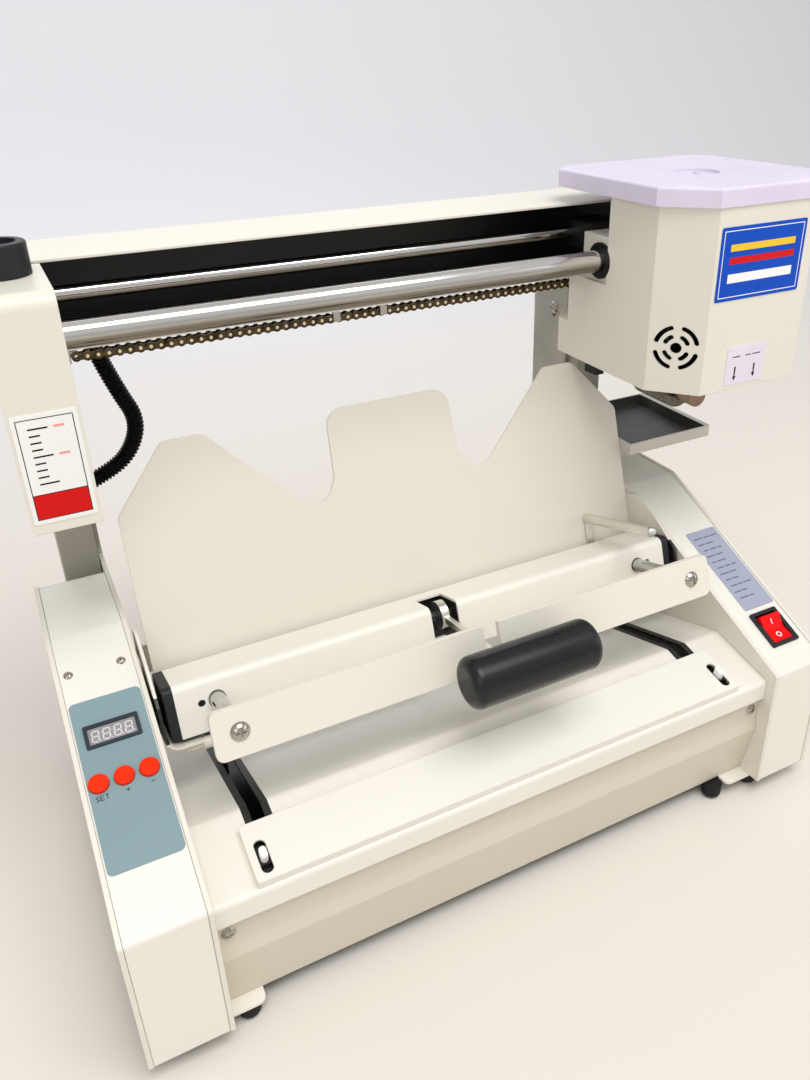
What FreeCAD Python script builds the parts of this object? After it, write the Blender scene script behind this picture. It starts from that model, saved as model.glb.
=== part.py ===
import FreeCAD, Part
import math
import os

# Desk-top perfect binding machine. Millimetres, +Z up, +X to the operator's right, +Y to the rear.
# Built about the middle plane between the side boxes (X 0), the front of the boxes (Y 0) and the
# bottom edge of their plates (Z 0); save() moves every piece to the centre of its footprint.

V = FreeCAD.Vector
AXIS_X = V(1, 0, 0)
AXIS_Y = V(0, 1, 0)
AXIS_Z = V(0, 0, 1)

# ---- frame -------------------------------------------------------------------------------------
foot_height = 14.0
foot_radius = 7.5
foot_rounding = 4.5
front_feet = [(-233.0, 15.5), (-195.0, 17.0), (178.0, 18.0), (214.0, 16.5)]
rear_foot_x = 225.0
rear_foot_inset = 21.0
half_span = 207.0            # middle plane to the inner face of an inner plate
plate_thickness = 3.0
cover_width = 44.5           # between the inner and the outer plate of a side box
cover_wall = 2.0
cover_inset = 0.6            # the covers lie this far inside the edges of the plates
cover_seam = 0.15
box_front_height = 101.5
box_slope_end = 183.4
box_top_height = 180.3
box_setback = 8.0            # between the side boxes and the posts behind them
front_fold = 3.0
crest_fold = 10.0
upright_corner = 4.0
machine_depth = 336.0
upright_depth = 52.0
upright_height = 350.0
pan_thickness = 2.0
pan_front = 20.0
pan_margin = 3.0
foot_tab_width = 22.0
foot_tab_front = 9.0
foot_tab_corner = 5.0
sheet_gap = 0.2              # sheets between the inner plates
tie_height = 60.0
tie_thickness = 3.0
tie_inset = 7.0
pin_flange = 1.2
pin_flange_margin = 3.0
inlet_width = 28.0
inlet_height = 24.0
inlet_foot = 48.0
inlet_depth = 18.0
inlet_flange = 4.0
inlet_flange_thickness = 2.0
inlet_socket_depth = 14.0
inlet_play = 0.3

# ---- posts and bridge --------------------------------------------------------------------------
post_width = 24.8
post_gap = 0.7
post_depth = 66.0
post_wall = 2.0
leg_clearance = 0.5
leg_wall = 3.0
leg_foot = 252.0
leg_head = 392.0
lift_travel = 4.5
lock_screw_inset = 32.0
lock_screw_z = 305.0
lock_screw_radius = 2.5
lock_screw_head = 6.0
slot_play = 1.0
beam_half_length = 246.0
beam_setback = 49.0          # from the web to the back of the uprights
beam_depth = 70.0
beam_bottom = 355.0
beam_top = 410.0
beam_wall = 1.5
beam_corner = 2.5
front_rod_radius = 8.0
front_rod_reach = 37.0       # in front of the flanges
front_rod_z = 374.6
rear_rod_radius = 5.0
rear_rod_inset = 13.0        # behind the edges of the flanges
rear_rod_z = 386.6
rod_block_width = 13.0
rod_block_margin = 0.5
rod_block_bottom = 362.0
rod_block_top = 400.0
fit = 0.08                   # radial clearance of a running fit
press = 0.02                 # radial clearance of a pressed or glued seat

# ---- head at the left end ----------------------------------------------------------------------
head_left = -248.0
head_right = -211.0
head_reach = 42.0            # in front of the front rod
head_depth = 76.0
head_bottom = 277.0
head_top = 409.0
head_wall = 2.0
head_corner = 8.0
knob_inset = 15.0            # from the outer face of the head
knob_behind_rod = 12.0
knob_radius = 16.5
knob_height = 17.7
knob_gap = 0.3
screw_radius = 4.0
screw_foot = 286.0
nut_level = 296.0
nut_plate = 4.0
nut_radius = 9.0
head_plate_size = (33.6, 63.9)
head_plate_inset = (1.7, 6.4)
label_thickness = 0.4

# ---- chain and sprocket ------------------------------------------------------------------------
pitch = 6.35
chain_before_rod = 9.0
chain_z = 350.0
link_count = 63
link_end_radius = 3.0
link_waist = 4.4
roller_radius = 1.65
pin_radius = 1.1
inner_gap = 1.6              # chain middle to the inside of an inner link plate
link_plate = 0.7
link_play = 0.1
pin_half_length = 3.4
sprocket_x = 186.0
sprocket_teeth = 12
sprocket_width = 2.6
sprocket_shaft_radius = 3.0

# ---- conduit -----------------------------------------------------------------------------------
conduit_radius = 6.2
conduit_inset = 37.0
conduit_hole_play = 1.5
conduit_hole_drop = 7.6      # the slot is this much taller than it is wide
conduit_route = [(-190.0, 374.0), (-186.5, 342.0), (-173.0, 298.0), (-162.5, 273.0),
                 (-171.5, 249.5), (-190.0, 236.0), (-218.0, 226.5)]
conduit_hole_z = 226.5

# ---- glue carriage -----------------------------------------------------------------------------
glue_left = 159.2
glue_right = 299.0
glue_reach = 91.0            # in front of the front rod
glue_behind_rod = 12.0       # behind the rear rod
glue_bottom = 294.6
glue_top = 421.5
glue_chamfer_x = 25.6
glue_chamfer_y = 29.3
glue_wall = 2.0
rod_notch_margin = 10.0      # in front of the front rod; behind it the box stays below the rods
rod_notch_z = 359.0
chain_notch_margin = 5.5     # in front of the chain; behind it the box stays below the sprocket
chain_notch_z = 322.0
lid_side = 4.6
lid_overhang = 1.0
lid_thickness = 12.5
lid_lip = 5.0
lid_play = 0.4
lid_recess = (66.8, 71.0)    # from the front left corner of the box
lid_recess_radius = 16.0
lid_recess_depth = 2.2
lid_dot_radius = 2.4
lid_notch = (134.0, 113.0)
lid_notch_size = (7.0, 1.6)
lid_rounding = 2.0
vent_z = 327.5
vent_hole_radius = 3.9
vent_slits = [(14.4, 3.3, 27.5), (8.3, 3.2, 18.5)]
bush_flange_radius = 13.0
bush_body_radius = 9.5
bearing_length = 45.0
bearing_behind_rod = 22.0
bearing_top = 392.0
guide_width = 30.0
guide_height = 19.0
guide_behind_rod = 9.0
drum_inset = (31.8, 27.5)    # from the front left corner of the box to the end of the drum
drum_drop = 4.1              # axis below the bottom of the box
drum_radius = 14.0
drum_length = 36.0
drum_end_gap = 0.5
drum_shaft_radius = 3.0
drum_boss_radius = 7.5
front_boss_length = 16.0
rear_boss_length = 7.0
boss_end = 3.0               # closed end of the front boss
foot_guide_height = 7.5
foot_guide_width = 8.0
foot_guide_run = (178.0, 192.0)
floor_thickness = 2.0
tank_gap = 2.0
tank_wall = 3.0
tank_top = 402.0
front_plate_box = (28.8, 104.8, 65.4, 114.4)     # from the lower left corner of the box
glue_label_box = (47.3, 83.3, 3.4, 31.4)

# ---- table -------------------------------------------------------------------------------------
table_front = 7.5
table_lip_bottom = 77.0
table_edge_z = 92.7
table_ridge_y = 62.2
table_ridge_z = 103.9
table_rear_y = 232.0
table_rear_z = 48.0
table_wall = 2.0
apron_wall = 1.5
apron_setback = 4.5
apron_bend = (46.0, 57.0, 2.5)   # heights of the two bends, and the setback of the lower one
apron_lap = 4.0
apron_screw_x = 200.0
apron_screw_z = 66.0
register_end = 8.0           # beyond the middle of a register slot
register_start = 1.9
register_length = 39.0
register_height = 5.8
register_wall = 1.5
tab_x = 172.0
tab_s = 17.0
tab_slot = (7.0, 22.0)
tab_foot = (5.5, 4.5)
tab_finger = (2.2, 3.8)
tab_rise = 4.5
arm_x = 166.0
arm_thickness = 5.0
arm_slot_width = 8.0
arm_slot_front = 48.5
arm_slot_rear = 200.0

# ---- clamp, in its own tilted frame: n to the rear, u up -----------------------------------------
clamp_tilt = 17.9
clamp_y = 165.6
clamp_z = 146.1
pivot_n = -9.0
pivot_u = 9.6
pivot_radius = 4.0
back_thickness = 2.0
back_foot = -34.0
w_margin = 4.7               # the back plate is this much shorter than the rear jaw at each end
w_corner = 2.0
w_outline = [(106.0, 8.0), (162.0, 149.5, 8.0), (135.0, 149.5, 9.0), (79.5, 92.0, 3.0), (62.0, 76.0, 14.0),
             (50.0, 100.0, 3.0), (48.0, 149.0, 13.0)]
jaw_rear_depth = 12.0
jaw_rear_top = -4.0
jaw_rear_play = 3.8
swing_thickness = 2.0
swing_head = [(-30.0, 14.0, 8.0), (-10.0, 31.0, 5.0), (8.0, 31.0, 5.0), (14.0, 5.0, 8.0)]
swing_foot = (15.0, -36.0, 6.0)
swing_shoulder = -9.0
cradle_front = -49.0
cradle_rear = -1.5
cradle_drop = 5.1            # from the bottom of the jaw to the underside of the cradle
cradle_bend = 10.0
cradle_reach = 21.0          # inward from the swing plate
stop_rod_setback = 5.0       # behind the front edge of the cradle
stop_roller_radius = 4.0
stop_roller_length = 7.0
stop_rod_radius = 2.6
stop_rod_length = 22.0
clamp_rod_x = 168.0
clamp_rod_u = -14.2
clamp_rod_radius = 5.0
bar_front = -109.3
bar_thickness = 4.2
bar_bottom = -29.6
bar_top = 1.2
bar_end = 16.0               # beyond the rods
bar_slot = (-4.5, 6.7)
bar_slot_depth = 23.5
bar_corner = 5.0
bar_screw_head = 6.0
housing_front = -46.3
housing_rear = -6.2
housing_bottom = -33.9
housing_top = 1.3
housing_play = 2.7           # between an end cap and a swing plate
housing_wall = 2.0
housing_corner = 5.0
cap_thickness = 6.5
cap_rounding = 0.9
rod_ring = 0.7               # radial gap round a rod where it enters the housing
rod_ring_depth = 1.2
side_hole = (9.9, 0.4)
side_hole_radius = 2.4
notch = (-13.0, 8.0)
notch_depth = 28.0
cam_n = -32.0
cam_u = -10.0
cam_radius = 10.4
cam_thickness = 6.0
cam_pin_radius = 3.0
lever_thickness = 4.5
grip_n = -136.0
grip_u = -21.6
grip_radius = 17.0
grip_left = -35.0
grip_right = 58.5
grip_rounding = 6.5
grip_core_radius = 5.0
grip_core_margin = 4.0
arm_bottom = [(23.0, -94.0, 6.0), (10.0, -96.0, 6.0)]
stop_x = 157.0
stop_u = 20.8
stop_radius = 4.0
stop_length = 82.0
stop_gap = 0.3
stop_leg = (3.0, 1.2)
stop_leg_foot = -8.0

# ---- panel on the sloping tops -------------------------------------------------------------------
button_radius = 5.8
button_play = 0.2
button_height = 2.0
button_s = 93.0
button_places = {"button_set": -246.9, "button_plus": -232.5, "button_minus": -218.1}
overlay_box = (-253.4, -210.9, 38.6, 149.0)
display_box = (-248.6, -216.4, 115.7, 131.4)
instruction_box = (223.0, 252.8, 56.0, 136.0)
rocker_box = (222.4, 248.4, 21.0, 51.6)
rocker_angle = 12.0
rocker_half_length = 11.0
rocker_half_width = 9.5
rocker_dip = 3.6
rocker_crown = 3.0
rocker_pivot = -4.0
rocker_pin_radius = 1.25
panel_screws = [(-249.1, 170.4), (-217.1, 170.4)]
panel_screw_radius = 1.5

# ---- drip tray -----------------------------------------------------------------------------------
tray_overlap = 5.0           # reaches this far inside the inner plate
tray_width = 86.0
tray_length = 91.0
tray_post_gap = 0.7
tray_bottom = 210.0
tray_top = 219.8
tray_wall = 1.2
tray_lip = 4.8               # hem along the outer end

# ---- values worked out from the above ------------------------------------------------------------
cover_inner_x = half_span + plate_thickness
outer_inner_x = cover_inner_x + cover_width
outer_x = outer_inner_x + plate_thickness
upright_front = machine_depth - upright_depth
post_inner_x = cover_inner_x + post_gap
post_front = machine_depth - post_depth
box_depth = post_front - box_setback
lock_screw_y = machine_depth - lock_screw_inset
foot_places = front_feet + [(side * rear_foot_x, machine_depth - rear_foot_inset) for side in (-1, 1)]
leg_width = post_width - 2 * post_wall - 2 * leg_clearance
leg_inner_x = post_inner_x + post_wall + leg_clearance
leg_front = post_front + post_wall + leg_clearance
leg_rear = machine_depth - post_wall - leg_clearance
box_slope = math.degrees(math.atan2(box_top_height - box_front_height, box_slope_end))
deck_slope = math.degrees(math.atan2(table_ridge_z - table_edge_z, table_ridge_y - table_front))
beam_rear = machine_depth - beam_setback
beam_front = beam_rear - beam_depth
front_rod_y = beam_front - front_rod_reach
rear_rod_y = beam_front + rear_rod_inset
rod_block_x = -head_right + head_wall
rod_half_length = rod_block_x + rod_block_width
rod_block_front = front_rod_y - front_rod_radius - rod_block_margin
head_front = front_rod_y - head_reach
head_rear = head_front + head_depth
knob_x = head_left + knob_inset
knob_y = front_rod_y + knob_behind_rod
chain_y = rear_rod_y - chain_before_rod
conduit_y = machine_depth - conduit_inset
glue_front = front_rod_y - glue_reach
glue_rear = rear_rod_y + glue_behind_rod
rod_notch_y = front_rod_y - rod_notch_margin
chain_notch_y = chain_y - chain_notch_margin
bearing_rear = front_rod_y + bearing_behind_rod
lid_left = glue_left - lid_side
lid_right = glue_right + lid_side
lid_front = glue_front - lid_overhang
lid_rear = glue_rear + lid_overhang
drum_x = glue_left + drum_inset[0]
drum_front = glue_front + drum_inset[1]
drum_z = glue_bottom - drum_drop
apron_face = table_front + apron_setback
register_half_width = tab_x + register_end
jaw_rear_half = half_span - jaw_rear_play
housing_half = jaw_rear_half - housing_play - cap_thickness
bar_half_length = clamp_rod_x + bar_end
tray_left = half_span - tray_overlap
tray_right = tray_left + tray_width
tray_rear = post_front - tray_post_gap
tray_front = tray_rear - tray_length
sprocket_drop = pitch * sprocket_teeth / (2 * math.pi)
sprocket_z = chain_z - sprocket_drop
origin_shift = V(-(lid_right - outer_x) / 2, -machine_depth / 2, foot_height)


# ---- helpers -------------------------------------------------------------------------------------
def save(name, *pieces):
    """Write one node, moved to the footprint's centre and the height of the feet."""
    shape = pieces[0] if len(pieces) == 1 else Part.makeCompound(list(pieces))
    moved = shape.copy()
    moved.translate(origin_shift)
    moved.exportStep("parts/" + name + ".step")


def block(x0, x1, y0, y1, z0, z1):
    return Part.makeBox(x1 - x0, y1 - y0, z1 - z0, V(x0, y0, z0))


def cylinder(x, y, z, radius, length, axis):
    return Part.makeCylinder(radius, length, V(x, y, z), axis)


def bent_corner(before, corner, after, radius):
    """Start, middle and end of the arc that rounds a corner; all three equal for a sharp one."""
    back = (before - corner).normalize()
    ahead = (after - corner).normalize()
    if radius <= 0:
        return corner, corner, corner
    half = back.getAngle(ahead) / 2
    reach = radius / math.tan(half)
    centre = corner + (back + ahead).normalize() * (radius / math.sin(half))
    middle = centre + (corner - centre).normalize() * radius
    return corner + back * reach, middle, corner + ahead * reach


def outline(points):
    """Closed wire in the XY plane through corners (a, b) or (a, b, radius)."""
    corners = [V(point[0], point[1], 0) for point in points]
    radii = [point[2] if len(point) > 2 else 0 for point in points]
    count = len(points)
    bends = [bent_corner(corners[i - 1], corners[i], corners[(i + 1) % count],
                         radii[i]) for i in range(count)]
    edges = []
    for i, (start, middle, end) in enumerate(bends):
        if start.distanceToPoint(end) > 1e-6:
            edges.append(Part.Arc(start, middle, end).toShape())
        following = bends[(i + 1) % count][0]
        if end.distanceToPoint(following) > 1e-6:
            edges.append(Part.LineSegment(end, following).toShape())
    return Part.Wire(edges)


def flat_z(points, z0, z1):
    """Plate with an XY outline between two heights."""
    plate = Part.Face(outline(points)).extrude(V(0, 0, z1 - z0))
    plate.translate(V(0, 0, z0))
    return plate


def flat_x(points, x0, x1):
    """Plate with a YZ outline between two X planes."""
    plate = Part.Face(outline(points)).extrude(V(0, 0, x1 - x0))
    plate.Placement = FreeCAD.Placement(V(x0, 0, 0), FreeCAD.Rotation(AXIS_Y, AXIS_Z, AXIS_X, "ZXY"))
    return plate


def flat_y(points, y0, y1):
    """Plate with an XZ outline between two Y planes."""
    plate = Part.Face(outline(points)).extrude(V(0, 0, y1 - y0))
    plate.rotate(V(0, 0, 0), AXIS_X, 90)
    plate.translate(V(0, y1, 0))
    return plate


def folded(points, wall):
    """Outline of a sheet whose outer face follows the points; the wall lies to their right."""
    corners = [V(point[0], point[1], 0) for point in points]
    radii = [point[2] if len(point) > 2 else 0 for point in points]
    runs = [(corners[i + 1] - corners[i]).normalize() for i in range(len(corners) - 1)]
    rights = [V(run.y, -run.x, 0) for run in runs]
    inner = [(corners[0] + rights[0] * wall, 0)]
    for i in range(1, len(corners) - 1):
        mitre = rights[i - 1] + rights[i]
        step = mitre * (2 * wall / mitre.dot(mitre))
        turn = runs[i - 1].x * runs[i].y - runs[i - 1].y * runs[i].x
        bend = radii[i] - wall if turn < 0 else radii[i] + wall
        inner.append((corners[i] + step, max(bend, 0) if radii[i] > 0 else 0))
    inner.append((corners[-1] + rights[-1] * wall, 0))
    outer = [(corner.x, corner.y, radius) for corner, radius in zip(corners, radii)]
    return outer + [(point.x, point.y, radius) for point, radius in reversed(inner)]


def rounded_box(x0, x1, y0, y1, z0, z1, radius):
    return flat_z([(x0, y0, radius), (x1, y0, radius), (x1, y1, radius), (x0, y1, radius)], z0, z1)


def slot_x(y, z, width, height, x0, x1):
    """Upright round-ended slot through an X wall."""
    half = width / 2
    bar = block(x0, x1, y - half, y + half, z - height / 2 + half, z + height / 2 - half)
    ends = [cylinder(x0, y, z + side * (height / 2 - half), half, x1 - x0, AXIS_X) for side in (-1, 1)]
    return bar.fuse(ends)


def mirrored(shape):
    return shape.mirror(V(0, 0, 0), AXIS_X)


def both(shape):
    return [shape, mirrored(shape)]


def on_slope(shape):
    """From (x, along the slope, off the slope) to the sloping top of a side box."""
    placed = shape.copy()
    placed.rotate(V(0, 0, 0), AXIS_X, box_slope)
    placed.translate(V(0, 0, box_front_height))
    return placed


def on_deck(shape):
    """From (x, along the deck, off the deck) to the rising front of the table."""
    placed = shape.copy()
    placed.rotate(V(0, 0, 0), AXIS_X, deck_slope)
    placed.translate(V(0, table_front, table_edge_z))
    return placed


def on_clamp(shape):
    """From (x, n, u) to the clamp's tilted frame."""
    placed = shape.copy()
    placed.rotate(V(0, 0, 0), AXIS_X, -clamp_tilt)
    placed.translate(V(0, clamp_y, clamp_z))
    return placed


def pan_screw(head_radius, head_height, shank_radius, shank_length):
    """Pan-head screw with a cross recess; the head's underside at Z 0, the shank below it."""
    arch = (head_radius ** 2 + head_height ** 2) / (2 * head_height)
    dome = Part.makeSphere(arch, V(0, 0, head_height - arch))
    head = cylinder(0, 0, 0, head_radius, head_height, AXIS_Z).common(dome)
    arm = head_radius * 0.55
    blade = head_radius * 0.1
    depth = head_height * 0.5
    for wide, narrow in ((arm, blade), (blade, arm)):
        head = head.cut(block(-wide, wide, -narrow, narrow, head_height - depth, head_height + 1))
    return head.fuse(cylinder(0, 0, -shank_length, shank_radius, shank_length, AXIS_Z))


def facing(shape, direction, place):
    """Turn a shape built along +Z to another direction and put it in place."""
    turned = shape.copy()
    turned.Placement = FreeCAD.Placement(place, FreeCAD.Rotation(AXIS_Z, direction))
    return turned


# ---- base ----------------------------------------------------------------------------------------
def base_pan():
    side_x = outer_inner_x - pan_margin
    tab_x0 = half_span - foot_tab_width
    pan = block(-side_x, side_x, pan_front, box_depth - pan_margin, -pan_thickness, 0)
    rear_x = post_inner_x + post_width
    pan = pan.fuse(block(-rear_x, rear_x, pan_front, machine_depth, -pan_thickness, 0))
    corners = [(tab_x0, foot_tab_front, foot_tab_corner), (side_x, foot_tab_front), (side_x, pan_front),
               (tab_x0, pan_front)]
    for strip in both(flat_z(corners, -pan_thickness, 0)):
        pan = pan.fuse(strip)
    return pan.removeSplitter()


def rubber_foot(x, y):
    foot = cylinder(x, y, -foot_height, foot_radius, foot_height - pan_thickness, AXIS_Z)
    sole = [edge for edge in foot.Edges if edge.Closed and edge.BoundBox.ZMax < -foot_height + 0.01]
    return foot.makeFillet(foot_rounding, sole)


def side_profile():
    return [(0, 0), (0, box_front_height, front_fold), (box_slope_end, box_top_height, crest_fold)]


def inner_plate():
    corner = upright_corner
    profile = side_profile() + [(upright_front, box_top_height, 2 * corner),
                                (upright_front, upright_height, corner),
                                (machine_depth, upright_height, corner), (machine_depth, 0)]
    plate = flat_x(profile, half_span, cover_inner_x)
    return plate.cut(lock_slot(half_span - 1, cover_inner_x + 1))


def lock_slot(x0, x1):
    width = 2 * lock_screw_radius + slot_play
    return slot_x(lock_screw_y, lock_screw_z - lift_travel / 2, width, width + lift_travel + slot_play,
                  x0, x1)


def pivot_pin():
    """Riveted pin that carries a swing plate of the clamp."""
    flange = cylinder(half_span - pin_flange, pivot_n, pivot_u, pivot_radius + pin_flange_margin,
                      pin_flange, AXIS_X)
    length = half_span - jaw_rear_half + 0.6
    return on_clamp(flange.fuse(cylinder(half_span - length, pivot_n, pivot_u, pivot_radius, length,
                                         AXIS_X)))


def outer_plate():
    profile = side_profile() + [(box_depth, box_top_height, crest_fold), (box_depth, 0)]
    return flat_x(profile, outer_inner_x, outer_x)


def cover_sheet():
    inset = cover_inset
    lift = inset / math.cos(math.radians(box_slope))
    fold = box_front_height - lift + inset * math.tan(math.radians(box_slope))
    top = box_top_height - inset
    crest = box_slope_end + inset * math.tan(math.radians(box_slope / 2))
    rear = box_depth - inset
    profile = [(inset, 0), (inset, fold, front_fold), (crest, top, crest_fold), (rear, top, crest_fold),
               (rear, 0)]
    return flat_x(folded(profile, cover_wall), cover_inner_x + cover_seam, outer_inner_x - cover_seam)


def panel_hole(bounds, grow=0.2):
    x0, x1, s0, s1 = bounds
    return on_slope(block(x0 - grow, x1 + grow, s0 - grow, s1 + grow, -20, 10))


def inset_box(bounds, margin):
    x0, x1, s0, s1 = bounds
    return x0 + margin, x1 - margin, s0 + margin, s1 - margin


def cover_left():
    cover = mirrored(cover_sheet())
    cover = cover.cut(panel_hole(inset_box(display_box, 1.5)))
    for x in button_places.values():
        cover = cover.cut(on_slope(cylinder(x, button_s, -20, button_radius + button_play, 30, AXIS_Z)))
    for x, s in panel_screws:
        cover = cover.cut(on_slope(cylinder(x, s, -20, panel_screw_radius + 0.1, 30, AXIS_Z)))
    return cover


def cover_right():
    cover = cover_sheet().cut(panel_hole(inset_box(rocker_box, 1.5)))
    x0 = inlet_x0()
    inlet_top = inlet_foot + inlet_height
    return cover.cut(block(x0, x0 + inlet_width, box_depth - 20, box_depth + 5, inlet_foot, inlet_top))


def inlet_x0():
    return cover_inner_x + (cover_width - inlet_width) / 2


def post(left):
    x0 = post_inner_x
    x1 = x0 + post_width
    tube = block(x0, x1, post_front, machine_depth, 0, upright_height)
    tube = tube.cut(block(x0 + post_wall, x1 - post_wall, post_front + post_wall,
                          machine_depth - post_wall, -1, upright_height + 1))
    tube = tube.cut(lock_slot(x0 - 1, x0 + post_wall + 1))
    return mirrored(tube).fuse(nut_bracket()).cut(conduit_opening()) if left else tube.fuse(tray_bracket())


def conduit_opening():
    width = 2 * (conduit_radius + conduit_hole_play)
    height = width + conduit_hole_drop
    return slot_x(conduit_y, conduit_hole_z, width, height, -post_inner_x - post_wall - 1, -half_span + 1)


def nut_bracket():
    """Plate welded to the left post that holds the nut of the height screw."""
    reach = knob_y - nut_radius
    plate = block(knob_x - nut_radius - 2, head_right - head_wall - 1, reach, post_front, nut_level,
                  nut_level + nut_plate)
    nut = cylinder(knob_x, knob_y, nut_level - 4, nut_radius, nut_plate + 10, AXIS_Z)
    return plate.fuse(nut).cut(cylinder(knob_x, knob_y, nut_level - 10, screw_radius + fit, 40, AXIS_Z))


def tray_bracket():
    """Angle welded to the front of the right post; the drip tray slides on its shelf."""
    shelf_top = tray_bottom - 0.3
    x0 = post_inner_x + post_wall
    thickness = 2.2
    shelf = block(x0, tray_right - 12, tray_front + 10, post_front, shelf_top - thickness, shelf_top)
    rise = block(x0, x0 + leg_width, post_front - thickness, post_front, shelf_top - 10 * thickness,
                 shelf_top)
    return shelf.fuse(rise)


def table():
    profile = [(table_front, table_lip_bottom), (table_front, table_edge_z, 3.5),
               (table_ridge_y, table_ridge_z, 6), (table_rear_y, table_rear_z, 6),
               (table_rear_y, table_rear_z - 20)]
    edge = half_span - sheet_gap
    sheet = flat_x(folded(profile, table_wall), -edge, edge)
    half = arm_slot_width / 2
    slot = rounded_box(arm_x - half, arm_x + half, arm_slot_front, arm_slot_rear, 20, 120, half - 0.1)
    for opening in both(slot):
        sheet = sheet.cut(opening)
    return sheet


def apron():
    low, high, back = apron_bend
    profile = [(pan_front - 1, 0), (table_front + back, low, 5), (apron_face, high, 5),
               (apron_face, table_lip_bottom + apron_lap)]
    edge = half_span - sheet_gap
    sheet = flat_x(folded(profile, apron_wall), -edge, edge)
    for hole in both(cylinder(apron_screw_x, apron_face - 5, apron_screw_z, 1.7, 12, AXIS_Y)):
        sheet = sheet.cut(hole)
    return sheet


def base_screws():
    place = V(apron_screw_x, apron_face, apron_screw_z)
    screws = both(facing(pan_screw(4.5, 2.4, 1.6, 5), V(0, -1, 0), place))
    for x, s in panel_screws:
        small = pan_screw(2.9, 1.2, panel_screw_radius, 5)
        small.translate(V(x, s, -cover_inset))
        screws.append(on_slope(small))
    return screws


def register_plate():
    half = register_half_width
    end = register_start + register_length
    shell = rounded_box(-half, half, register_start, end, 0, register_height, 1.5)
    wall = register_wall
    shell = shell.cut(block(-half + wall, half - wall, register_start + wall, end - wall, -1,
                            register_height - wall))
    wide, long = tab_slot
    slot = rounded_box(tab_x - wide / 2, tab_x + wide / 2, tab_s - long / 2, tab_s + long / 2, 0, 10,
                       wide / 2 - 0.1)
    for opening in both(slot):
        shell = shell.cut(opening)
    return on_deck(shell)


def register_tab():
    wide, long = tab_foot
    foot = block(tab_x - wide, tab_x + wide, tab_s - long, tab_s + long, 0.2,
                 register_height - register_wall - 0.3)
    wide, long = tab_finger
    top = register_height + tab_rise
    finger = rounded_box(tab_x - wide, tab_x + wide, tab_s - long, tab_s + long, 1, top, wide - 0.1)
    return on_deck(foot.fuse(finger))


def rear_tie():
    y1 = machine_depth - tie_inset
    return block(-half_span, half_span, y1 - tie_thickness, y1, 0, tie_height)


def overlay(bounds, thickness, radius):
    x0, x1, s0, s1 = bounds
    return on_slope(rounded_box(x0, x1, s0, s1, -cover_inset, thickness - cover_inset, radius))


def control_overlay():
    sheet = overlay(overlay_box, label_thickness, 3.5).cut(panel_hole(inset_box(display_box, 1.5)))
    for x in button_places.values():
        sheet = sheet.cut(on_slope(cylinder(x, button_s, -20, button_radius + button_play, 30, AXIS_Z)))
    return sheet


def display():
    """Bezel with a sunk window, and the circuit board behind it and the buttons."""
    x0, x1, s0, s1 = display_box
    seat = label_thickness - cover_inset
    bezel = rounded_box(x0, x1, s0, s1, seat, seat + 1.0, 1.0)
    bezel = bezel.fuse(block(x0 + 1.8, x1 - 1.8, s0 + 1.8, s1 - 1.8, -11, seat + 0.5))
    bezel = bezel.cut(block(x0 + 2.2, x1 - 2.2, s0 + 2.2, s1 - 2.2, seat - 0.6, 5))
    board = block(x0 - 3, x1 + 3, button_s - 10, s1 + 2, -12.6, -11)
    return on_slope(bezel.fuse(board))


def push_button(x):
    cap = cylinder(x, button_s, -4.5, button_radius, 4.5 + button_height, AXIS_Z)
    rim = [edge for edge in cap.Edges if edge.BoundBox.ZMin > button_height - 0.01]
    cap = cap.makeFillet(0.7, rim[:1])
    return on_slope(cap.fuse(cylinder(x, button_s, -9.8, 2, 6, AXIS_Z)))


def rocker_middle():
    x0, x1, s0, s1 = rocker_box
    return (x0 + x1) / 2, (s0 + s1) / 2


def rocker_bezel():
    x0, x1, s0, s1 = rocker_box
    mx, ms = rocker_middle()
    seat = -cover_inset
    bezel = rounded_box(x0, x1, s0, s1, seat, seat + 1.8, 1.2)
    bezel = bezel.fuse(block(x0 + 1.8, x1 - 1.8, s0 + 1.8, s1 - 1.8, -16, seat + 1))
    bezel = bezel.cut(block(mx - 9.8, mx + 9.8, ms - 12.5, ms + 12.5, -14.5, 5))
    return on_slope(bezel.fuse(cylinder(mx - 10, ms, rocker_pivot, rocker_pin_radius, 20, AXIS_X)))


def rocker():
    mx, ms = rocker_middle()
    half = rocker_half_length
    profile = [(ms - half, -9, 1), (ms - half, rocker_crown, 0.8), (ms, rocker_crown - rocker_dip, 2.5),
               (ms + half, rocker_crown, 0.8), (ms + half, -9, 1)]
    body = flat_x(profile, mx - rocker_half_width, mx + rocker_half_width)
    body = body.cut(cylinder(mx - 11, ms, rocker_pivot, rocker_pin_radius + fit, 22, AXIS_X))
    body.rotate(V(0, ms, rocker_pivot), AXIS_X, rocker_angle)
    return on_slope(body)


def power_inlet():
    x0 = inlet_x0() + inlet_play
    x1 = inlet_x0() + inlet_width - inlet_play
    z0 = inlet_foot + inlet_play
    z1 = inlet_foot + inlet_height - inlet_play
    face = box_depth - cover_inset
    body = block(x0, x1, face - inlet_depth, face + 0.5, z0, z1)
    body = body.fuse(block(x0 - inlet_flange, x1 + inlet_flange, face, face + inlet_flange_thickness,
                           z0 - 2, z1 + 2))
    floor = face - inlet_socket_depth
    body = body.cut(block(x0 + 2.5, x1 - 2.5, floor, face + 5, z0 + 3.7, z1 - 3.7))
    middle_z = (z0 + z1) / 2
    for step in (-7, 0, 7):
        middle = (x0 + x1) / 2 + step
        body = body.fuse(block(middle - 1, middle + 1, floor - 1, face - 3, middle_z - 2, middle_z + 2))
    return body


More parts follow.
